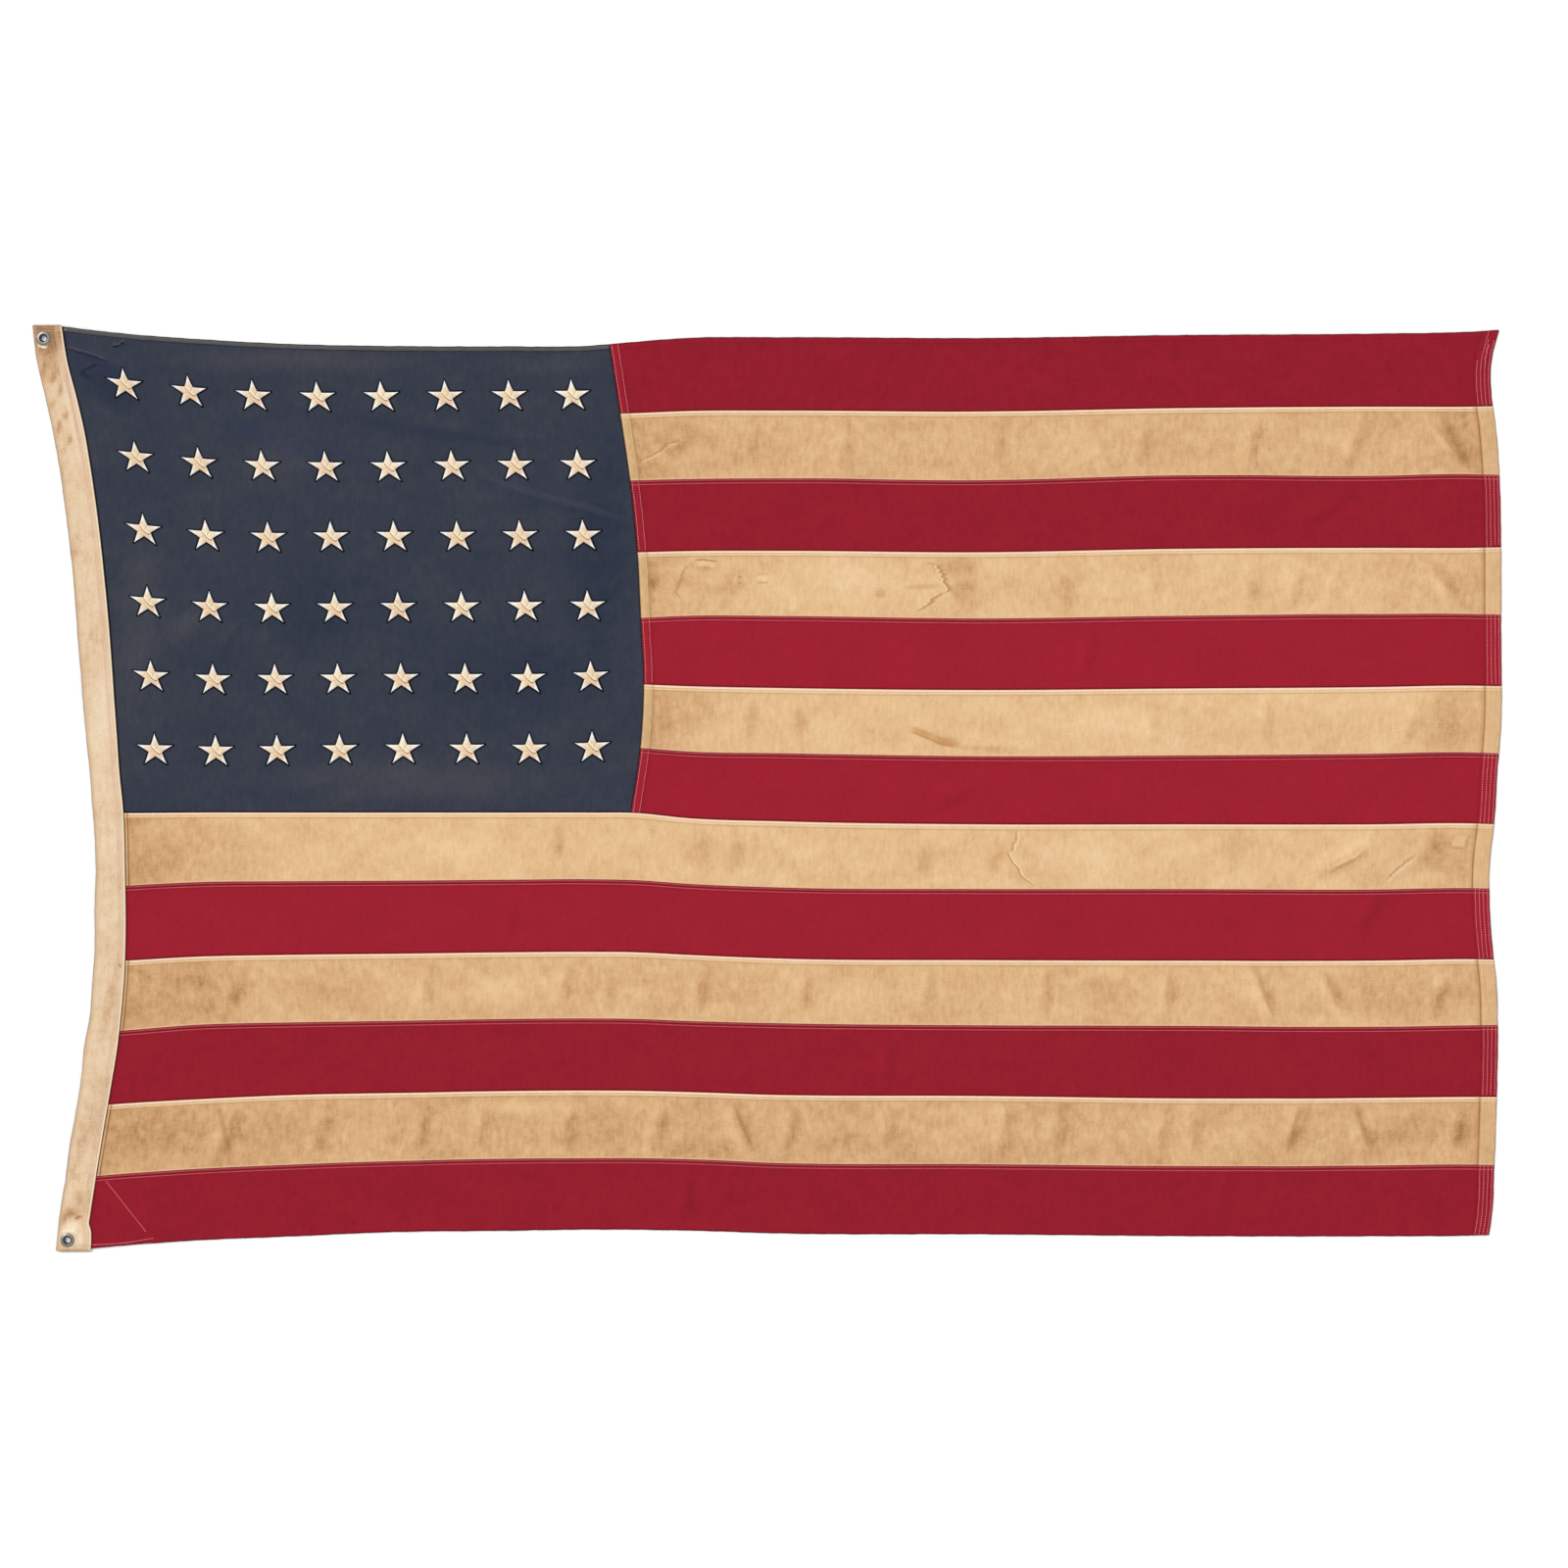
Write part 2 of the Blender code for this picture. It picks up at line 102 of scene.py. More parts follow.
LONG_SEAMS = (
    (830, 829.5, 829, 829, 829, 829, 829, 829.5, 834.5, 838, 841, 841, 841, 840, 841),
    (909, 904, 900.5, 899.5, 899, 898, 897.5, 898.5, 902, 906, 907.5, 907.5, 908, 906.5, 907),
    (984, 980, 976, 974, 973, 971.5, 971, 971.5, 974, 978, 979.5, 980, 980, 978.5, 979),
    (1056, 1051.5, 1046, 1043.5, 1042, 1040, 1039.5, 1040, 1042, 1044.5, 1046.5, 1047, 1048, 1046.5, 1046),
    (1131, 1125.5, 1121.5, 1117, 1115, 1113, 1112.5, 1112.8, 1114, 1117, 1118, 1120.5, 1120, 1119, 1119),
    (1204, 1197.5, 1193, 1188.5, 1185, 1182.5, 1182, 1182, 1183, 1187, 1188, 1190, 1189.5, 1188.5, 1189),
    (1277, 1270.4, 1265.6, 1261.4, 1257.1, 1255.7, 1254.5, 1254.7, 1255.5, 1258.5, 1259.3, 1261.1, 1261.3, 1260.6,
     1259.6),
)
CANTON_EDGE = (622, 633, 643, 650.5, 654, 657, 653.5, 644)
HEADING_ROWS = (332, 370, 405, 440, 475, 510, 545, 580, 615, 650, 685, 720, 755, 790, 825, 860, 895,
                930, 965, 1000, 1035, 1070, 1105, 1140, 1175, 1210, 1225, 1240, 1249, 1255, 1263, 1277)
HEADING_OUTER = (33.5, 38.5, 46.5, 54, 60.5, 65.5, 70, 74, 77, 79.5, 83, 85.5, 88.5, 92, 94.5, 97.3, 98.3,
                 97, 97, 94.5, 92, 86, 83, 77, 70.5, 66, 63.4, 61.2, 60.2, 59.7, 58.9, 57.5)
HEADING_SEAM = (63.5, 69.5, 78.5, 86.5, 92.5, 97.7, 102.2, 106, 109.5, 112.5, 115.2, 117.5, 120, 122.5, 126, 127.7,
                128.5, 129, 128.5, 127, 124, 120, 114.5, 108.5, 102.5, 97, 94.8, 92.6, 91.6, 93.5, 93.9, 93.2)
HEADING_ENDS = (332, 1276.5)
FLY_ROWS = (337, 366, 400, 435, 481, 560, 650, 740, 790, 840, 880, 930, 965, 1000, 1040, 1119, 1190, 1248, 1262)
FLY_EDGE = (1529.5, 1522, 1521.3, 1526, 1529.5, 1531.5, 1531.5, 1531.5, 1527.5, 1524.5, 1520, 1520, 1522.5,
            1526.5, 1528, 1527, 1524.5, 1521, 1518.5)
EYELETS = {"top": (45.3, 345.7), "bottom": (69.5, 1265)}

# %% A soft curve through the points read
def smooth(places, values, at):
    """The soft curve through the values at the places, read at one place or at many."""
    places = np.asarray(places, float)
    values = np.asarray(values, float)
    at = np.asarray(at, float)
    slopes = np.gradient(values, places)
    i = np.clip(np.searchsorted(places, at) - 1, 0, len(places) - 2)
    width = places[i + 1] - places[i]
    t = (at - places[i]) / width
    ends = values[i] * (1 + 2 * t) * (1 - t) ** 2 + values[i + 1] * t * t * (3 - 2 * t)
    return ends + width * t * (1 - t) * (slopes[i] * (1 - t) - slopes[i + 1] * t)


def place(column, row):
    """Metres of a pixel of the picture."""
    return np.stack([(column - MIDDLE_COLUMN) * PIXEL, (MIDDLE_ROW - row) * PIXEL], axis=-1)


def seam_row(seam, column):
    """Row of seam 0 (the top edge) to 13 (the bottom edge) at a column."""
    if seam == 0:
        return smooth(STATIONS, TOP_EDGE, column)
    if seam >= CANTON_SEAM:
        return smooth(STATIONS, LONG_SEAMS[seam - CANTON_SEAM], column)
    known = STATIONS[-len(SHORT_SEAMS[0]):]
    return smooth(known, SHORT_SEAMS[seam - 1], column)


CANTON_ROWS = [float(seam_row(seam, edge)) for seam, edge in enumerate(CANTON_EDGE)]
print("stripe width at mid length, mm:",
      [round((float(seam_row(k + 1, 1000)) - float(seam_row(k, 1000))) * PIXEL / MM) for k in range(BOTTOM_SEAM)])

# %% [markdown]
# ## The folds
#
# Old cloth that has been laid out by hand keeps broad, low folds, a few millimetres high and a hand's breadth wide.
# A simulation would make new folds in new places. Here each fold is placed where the picture shows it, as a
# soft ridge, so the cloth still lies flat on the surface between them. The first list is that of the solids.

# %% Broad folds: column, row, direction in degrees, half length, half width and height in metres
FOLDS = (
    (858, 470, 86, 0.110, 0.085, 0.0035),
    (1018, 455, 92, 0.100, 0.080, 0.0030),
    (1280, 480, 75, 0.130, 0.085, 0.0035),
    (1470, 480, -62, 0.140, 0.090, 0.0045),
    (1340, 610, 80, 0.110, 0.085, 0.0035),
    (1468, 620, -65, 0.130, 0.090, 0.0045),
    (955, 615, 100, 0.090, 0.075, 0.0025),
    (1440, 745, 70, 0.110, 0.085, 0.0035),
    (1180, 745, 88, 0.100, 0.080, 0.0025),
    (1390, 885, 52, 0.150, 0.090, 0.0045),
    (1040, 880, 95, 0.100, 0.080, 0.0030),
    (750, 880, 75, 0.090, 0.080, 0.0025),
    (1290, 1020, -70, 0.120, 0.085, 0.0040),
    (1170, 1015, 88, 0.110, 0.080, 0.0030),
    (1440, 1010, 60, 0.120, 0.090, 0.0040),
    (430, 1150, 82, 0.120, 0.085, 0.0035),
    (780, 1150, -80, 0.120, 0.085, 0.0040),
    (1030, 1155, 85, 0.110, 0.085, 0.0030),
    (1330, 1155, 62, 0.140, 0.090, 0.0045),
    (240, 1010, 60, 0.120, 0.090, 0.0035),
    (210, 875, 70, 0.100, 0.085, 0.0030),
    (150, 1225, 48, 0.110, 0.085, 0.0035),
    (120, 385, -28, 0.130, 0.090, 0.0030),
    (560, 515, -20, 0.180, 0.120, 0.0025),
    (240, 650, 42, 0.170, 0.120, 0.0025),
    (85, 700, 88, 0.110, 0.070, 0.0030),
    (110, 905, 85, 0.120, 0.080, 0.0035),
    (82, 1120, 70, 0.120, 0.075, 0.0035),
)
EYELET_LIFT = FLANGE + GAP  # the canvas round an eyelet lies on the eyelet's back flange
LIFT_FULL = 42 * MM
LIFT_NONE = 110 * MM

# %% [markdown]
# Finer creases lie on the broad folds. They are where the cloth was once sharply bent: a ridge two fingers wide and a
# millimetre or two high. Soil has gathered along most of them, and the same list will later paint the cloth beside
# them: soil and painted shade on the side away from the light, and a painted highlight on the lit side.

# %% Fine creases: column, row, direction, half length, half width, height, and how strongly their soil, painted shade and painted highlight show (0 to 1)
CREASES = (
    (862, 450, 84, 0.045, 0.012, 0.0016, 0.45),
    (1020, 450, 92, 0.040, 0.010, 0.0012, 0.30),
    (1166, 452, 80, 0.040, 0.011, 0.0012, 0.30),
    (1277, 452, 74, 0.045, 0.012, 0.0018, 0.45),
    (1381, 455, 70, 0.040, 0.011, 0.0014, 0.35),
    (1482, 455, -58, 0.050, 0.012, 0.0020, 0.50),
    (1176, 597, 86, 0.040, 0.011, 0.0014, 0.35),
    (1276, 600, 80, 0.042, 0.012, 0.0015, 0.40),
    (1322, 597, 76, 0.040, 0.011, 0.0013, 0.35),
    (1362, 600, 74, 0.040, 0.011, 0.0014, 0.35),
    (1475, 598, -54, 0.050, 0.012, 0.0020, 0.50),
    (1176, 738, 88, 0.038, 0.011, 0.0012, 0.30),
    (1292, 735, 80, 0.038, 0.011, 0.0012, 0.30),
    (1440, 737, 66, 0.045, 0.012, 0.0016, 0.40),
    (1372, 877, 28, 0.052, 0.011, 0.0020, 0.55),
    (1448, 877, 38, 0.050, 0.011, 0.0018, 0.50),
    (240, 1010, 62, 0.045, 0.012, 0.0016, 0.50),
    (435, 1008, 84, 0.040, 0.012, 0.0012, 0.40),
    (575, 1008, 80, 0.038, 0.011, 0.0012, 0.40),
    (622, 1010, 84, 0.036, 0.010, 0.0010, 0.35),
    (715, 1008, 80, 0.040, 0.012, 0.0014, 0.45),
    (820, 1012, 84, 0.040, 0.011, 0.0012, 0.40),
    (945, 1012, 76, 0.038, 0.011, 0.0012, 0.35),
    (1065, 1015, 84, 0.040, 0.011, 0.0014, 0.40),
    (1192, 1012, 82, 0.042, 0.012, 0.0016, 0.45),
    (1288, 1010, -64, 0.046, 0.012, 0.0020, 0.55),
    (1360, 1012, -60, 0.044, 0.012, 0.0018, 0.50),
    (1470, 1010, 64, 0.044, 0.012, 0.0018, 0.50),
    (230, 1160, 66, 0.045, 0.013, 0.0016, 0.55),
    (326, 1152, 78, 0.042, 0.012, 0.0014, 0.50),
    (430, 1152, 80, 0.044, 0.013, 0.0016, 0.55),
    (492, 1150, 76, 0.040, 0.012, 0.0014, 0.45),
    (580, 1148, 82, 0.040, 0.012, 0.0013, 0.45),
    (672, 1150, 78, 0.042, 0.012, 0.0014, 0.50),
    (756, 1150, -66, 0.046, 0.013, 0.0020, 0.60),
    (806, 1150, 80, 0.042, 0.012, 0.0016, 0.50),
    (906, 1150, 84, 0.040, 0.012, 0.0014, 0.45),
    (1026, 1152, 82, 0.044, 0.013, 0.0016, 0.55),
    (1080, 1150, 78, 0.040, 0.012, 0.0014, 0.45),
    (1186, 1152, 80, 0.042, 0.012, 0.0016, 0.50),
    (1218, 1155, 84, 0.038, 0.011, 0.0012, 0.40),
    (1320, 1152, 62, 0.046, 0.012, 0.0020, 0.55),
    (1390, 1155, -62, 0.044, 0.012, 0.0018, 0.50),
    (1486, 1152, 76, 0.042, 0.012, 0.0016, 0.50),
    (1110, 665, 86, 0.042, 0.012, 0.0014, 0.25),
    (1350, 522, 30, 0.045, 0.012, 0.0014, 0.25),
    (1396, 930, 62, 0.052, 0.013, 0.0018, 0.30),
    (975, 812, 24, 0.045, 0.012, 0.0012, 0.20),
    (520, 935, 84, 0.040, 0.012, 0.0010, 0.15),
    (905, 1080, 88, 0.042, 0.012, 0.0012, 0.20),
    (1250, 1215, 78, 0.044, 0.012, 0.0012, 0.20),
    (700, 1222, 82, 0.042, 0.012, 0.0012, 0.20),
    (90, 362, -18, 0.040, 0.0070, 0.0018, 0.50),
    (110, 372, -28, 0.022, 0.0065, 0.0010, 0.30),
    (95, 373, 32, 0.014, 0.006, 0.0012, 0.60),
    (124, 350, 38, 0.012, 0.006, 0.0018, 0.70),
    (565, 508, -17, 0.120, 0.014, 0.0016, 0.30),
    (420, 430, -14, 0.090, 0.014, 0.0012, 0.20),
    (232, 655, 44, 0.070, 0.013, 0.0012, 0.20),
    (330, 800, 12, 0.080, 0.014, 0.0010, 0.20),
)
print(len(FOLDS), "broad folds and", len(CREASES), "fine creases")

# %% [markdown]
# Between folds, real cloth is still not a plane. A few dozen long waves, added up, give it a slight unevenness under
# half a millimetre high. The waves are drawn once from a seeded generator, so the cloth is the same on every run.

# %% The height of the cloth
WAVES = 28
WAVE_LENGTHS = (38 * MM, 120 * MM)
WAVE_HEIGHT = 0.42 * MM
BACK_LIFT = 0.3 * MM  # room under the cloth for the threads on its back
waves = np.random.default_rng(48)
wave_turn = waves.uniform(0, np.pi, WAVES)
wave_length = waves.uniform(*WAVE_LENGTHS, WAVES)
wave_start = waves.uniform(0, 2 * np.pi, WAVES)


def soft_bump(distance):
    """1 at the middle, 0 from a distance of 1 outward."""
    return np.clip(1 - distance ** 2, 0, 1) ** 2


def ease(value, start, stop):
    """0 before start, 1 after stop, and soft between."""
    t = np.clip((value - start) / (stop - start), 0, 1)
    return t * t * (3 - 2 * t)


def ridge(x, y, column, row, turn, half_length, half_width):
    """Share of a ridge's height at a point: an ellipse with soft sides, turned by the angle."""
    middle = place(column, row)
    angle = np.radians(turn)
    along = (x - middle[0]) * np.cos(angle) + (y - middle[1]) * np.sin(angle)
    across = (y - middle[1]) * np.cos(angle) - (x - middle[0]) * np.sin(angle)
    return soft_bump(np.hypot(along / half_length, across / half_width))


def unevenness(x, y):
    """The long waves added up, from 0 to about 1."""
    total = np.zeros(np.shape(x))
    for turn, length, start in zip(wave_turn, wave_length, wave_start):
        total = total + np.sin((x * np.cos(turn) + y * np.sin(turn)) * 2 * np.pi / length + start)
    return np.clip(total / WAVES ** 0.5, -1, 1) / 2 + 0.5


def cloth_height(x, y):
    """Height of the cloth's underside above the surface."""
    height = np.zeros(np.shape(x))
    for *spot, rise in FOLDS:
        height = np.maximum(height, rise * ridge(x, y, *spot))
    for *spot, rise, soil_and_painted_light in CREASES:
        height = height + rise * ridge(x, y, *spot)
    height = height + WAVE_HEIGHT * unevenness(x, y)
    for spot in EYELETS.values():
        middle = place(*spot)
        distance = np.hypot(x - middle[0], y - middle[1])
        near = 1 - ease(distance, LIFT_FULL, LIFT_NONE)
        height = height * (1 - near) + EYELET_LIFT * near
    return height + BACK_LIFT


# %% [markdown]
# ## Soil, stains and the painted light of creases
#
# Soft soil is a matter of broad patches, so it is worked out at each point of a sheet and stored there as a number:
# above zero darker, below zero paler. The painted shade and painted highlight beside each crease go into the same
# number. The shader later breaks the patches up with noise, which is what makes them look soaked in, not sprayed on.

# %% Patches of soil: column, row, direction, half length, half width in metres, and strength
STAINS = (
    (720, 578, 4, 0.030, 0.012, 0.30),
    (752, 592, 20, 0.040, 0.022, 0.30),
    (745, 601, 0, 0.060, 0.016, 0.25),
    (666, 593, 84, 0.024, 0.012, 0.60),
    (860, 597, 0, 0.170, 0.060, -0.25),
    (899, 605, 0, 0.014, 0.012, 0.60),
    (984, 598, 86, 0.070, 0.036, 0.40),
    (975, 575, 10, 0.050, 0.022, 0.30),
    (1090, 600, 80, 0.060, 0.030, 0.25),
    (1455, 600, 0, 0.140, 0.070, 0.20),
    (770, 455, 84, 0.050, 0.020, 0.30),
    (700, 450, 40, 0.050, 0.016, 0.30),
    (1100, 455, 0, 0.140, 0.050, -0.20),
    (1490, 452, 0, 0.090, 0.080, 0.20),
    (953, 752.5, -15, 0.050, 0.015, 0.35),
    (938, 747.5, -24, 0.026, 0.010, 0.20),
    (970, 758.5, -12, 0.030, 0.008, 0.50),
    (1015, 764.5, -3, 0.075, 0.008, 0.50),
    (767, 735, 86, 0.045, 0.016, 0.40),
    (816, 738, 80, 0.045, 0.018, 0.40),
    (700, 730, 0, 0.090, 0.040, 0.20),
    (1120, 735, 0, 0.150, 0.045, -0.20),
    (1480, 735, 80, 0.080, 0.060, 0.25),
    (200, 868, 0, 0.120, 0.070, 0.25),
    (470, 865, 0, 0.160, 0.050, -0.15),
    (570, 862, 80, 0.036, 0.016, 0.45),
    (718, 868, 0, 0.055, 0.050, 0.26),
    (752, 872, 76, 0.045, 0.024, 0.50),
    (770, 862, 84, 0.040, 0.012, 0.30),
    (945, 880, 70, 0.040, 0.022, 0.40),
    (1015, 880, 84, 0.050, 0.020, 0.35),
    (1110, 872, 0, 0.110, 0.045, -0.25),
    (1260, 872, 80, 0.050, 0.030, 0.25),
    (1466, 858, 60, 0.030, 0.020, 0.50),
    (1470, 878, 0, 0.080, 0.040, 0.25),
    (200, 1010, 0, 0.150, 0.080, 0.25),
    (350, 1012, 0, 0.100, 0.050, 0.20),
    (505, 1012, 0, 0.080, 0.040, -0.20),
    (880, 1012, 0, 0.090, 0.040, -0.15),
    (1130, 1010, 0, 0.080, 0.045, 0.15),
    (1420, 1015, 0, 0.120, 0.060, 0.25),
    (700, 1012, 0, 0.090, 0.050, 0.20),
    (160, 1160, 0, 0.090, 0.070, 0.25),
    (270, 1155, 0, 0.120, 0.050, 0.15),
    (540, 1130, 0, 0.140, 0.020, -0.30),
    (720, 1172, 0, 0.090, 0.022, 0.25),
    (860, 1165, 0, 0.090, 0.030, 0.20),
    (980, 1135, 0, 0.090, 0.025, -0.25),
    (1250, 1155, 0, 0.120, 0.050, -0.16),
    (610, 1155, 0, 0.080, 0.050, 0.14),
    (1440, 1150, 0, 0.120, 0.050, 0.15),
    (280, 470, 20, 0.130, 0.070, -0.35),
    (190, 637, 40, 0.060, 0.030, -0.60),
    (330, 620, 0, 0.220, 0.100, 0.30),
    (520, 690, 0, 0.220, 0.110, 0.45),
    (610, 560, 88, 0.300, 0.080, 0.55),
    (140, 640, 84, 0.260, 0.060, -0.50),
    (420, 795, 0, 0.330, 0.050, -0.60),
    (110, 395, -30, 0.080, 0.050, 0.60),
    (86, 383, 0, 0.010, 0.007, 1.40),
    (300, 368, 0, 0.300, 0.030, -0.55),
    (560, 372, 0, 0.120, 0.026, -0.40),
    (47, 340, 0, 0.050, 0.050, 1.05),
    (39, 337, 60, 0.010, 0.006, 0.90),
    (62, 347, 80, 0.020, 0.012, 0.35),
    (52, 366, 76, 0.060, 0.034, 0.45),
    (44, 380, 74, 0.030, 0.008, 0.45),
    (55, 386, 60, 0.014, 0.007, 0.60),
    (62, 399, 80, 0.018, 0.006, 0.55),
    (54, 414, 70, 0.016, 0.007, 0.50),
    (68, 424, 66, 0.014, 0.006, 0.60),
    (60, 437, 80, 0.020, 0.007, 0.50),
    (72, 448, 72, 0.013, 0.006, 0.55),
    (66, 459, 70, 0.016, 0.007, 0.45),
    (58, 500, 74, 0.060, 0.010, 0.20),
    (76, 560, 76, 0.060, 0.012, 0.20),
    (104, 730, 84, 0.120, 0.034, -0.40),
    (98, 1140, 76, 0.080, 0.034, 0.20),
    (80.5, 1242, 12, 0.009, 0.004, 1.10),
    (71, 1238, 10, 0.028, 0.012, 0.60),
    (65, 1245, 60, 0.016, 0.010, 0.45),
    (80, 1222, 60, 0.024, 0.014, 0.25),
    (90, 1225, 60, 0.030, 0.020, 0.25),
    (74, 1252, 10, 0.020, 0.012, -0.70),
    (84, 1264, 80, 0.020, 0.012, -0.50),
    (60, 1264, 80, 0.016, 0.010, -0.35),
    (76, 1276, 0, 0.040, 0.006, 0.60),
    (80, 1180, 76, 0.070, 0.016, 0.25),
    (123.5, 984.5, 70, 0.0045, 0.0025, 1.80),
    (123, 905, 60, 0.003, 0.0025, 1.20),
    (113, 1020, 78, 0.090, 0.014, 0.35),
)
TONES = {1: 0.20, 2: 0.20, 3: 0.14, 4: -0.02, 5: -0.10, 6: -0.06, 7: -0.10, 8: -0.04, 9: -0.06, 10: 0.14, 11: 0.14,
         12: 0.30, 13: 0.16}  # soil all over each stripe
END_SOIL = {"hoist": (0.56, 90 * MM), "canton": (0.58, 65 * MM), "fly": (0.34, 80 * MM)}  # most, and over what length


CREASE_MARK_SPREAD = 1.5  # soil and painted shade and highlight lie longer and wider than the crease
SHADE_AND_HIGHLIGHT_SIDES = ((-0.5, 0.60), (1.1, -0.34))  # painted shade with soil on the crease's shaded side, and a painted highlight on its lit one: half widths across, strength
LIGHT_FROM = (-0.75, 0.62)  # the light comes from the upper left


def soil_and_painted_light(x, y):
    """Soil and painted light at a point: the patches, and along each crease soil and painted shade on one side and a
    painted highlight on the lit one.
    """
    total = np.zeros(np.shape(x))
    for *spot, strength in STAINS:
        total = total + strength * ridge(x, y, *spot)
    for column, row, turn, long, wide, rise, strength in CREASES:
        across = np.array([-np.sin(np.radians(turn)), np.cos(np.radians(turn))])
        across = across * np.sign(across @ LIGHT_FROM) * wide / PIXEL
        for aside, share in SHADE_AND_HIGHLIGHT_SIDES:
            spot = (column + aside * across[0], row - aside * across[1], turn, long * CREASE_MARK_SPREAD, wide * CREASE_MARK_SPREAD)
            total = total + strength * share * ridge(x, y, *spot)
    return total


# %% [markdown]
# Some marks are sharp: the tide line of a water stain, where the wet edge stopped and dried, a crease that was pressed
# in, a scuff. All are finer than the sheet's points. Creases and folds among them are drawn as painted shade, most with
# a painted highlight on their lit side. Each is kept as a line through a few places of the picture, and the shader will
# draw it. A line is given as a row for each column, or, where it runs up and down, a column for each row. Its strokes
# lie beside it: how far right of it or below it, half width and softness in millimetres, colour and strength.

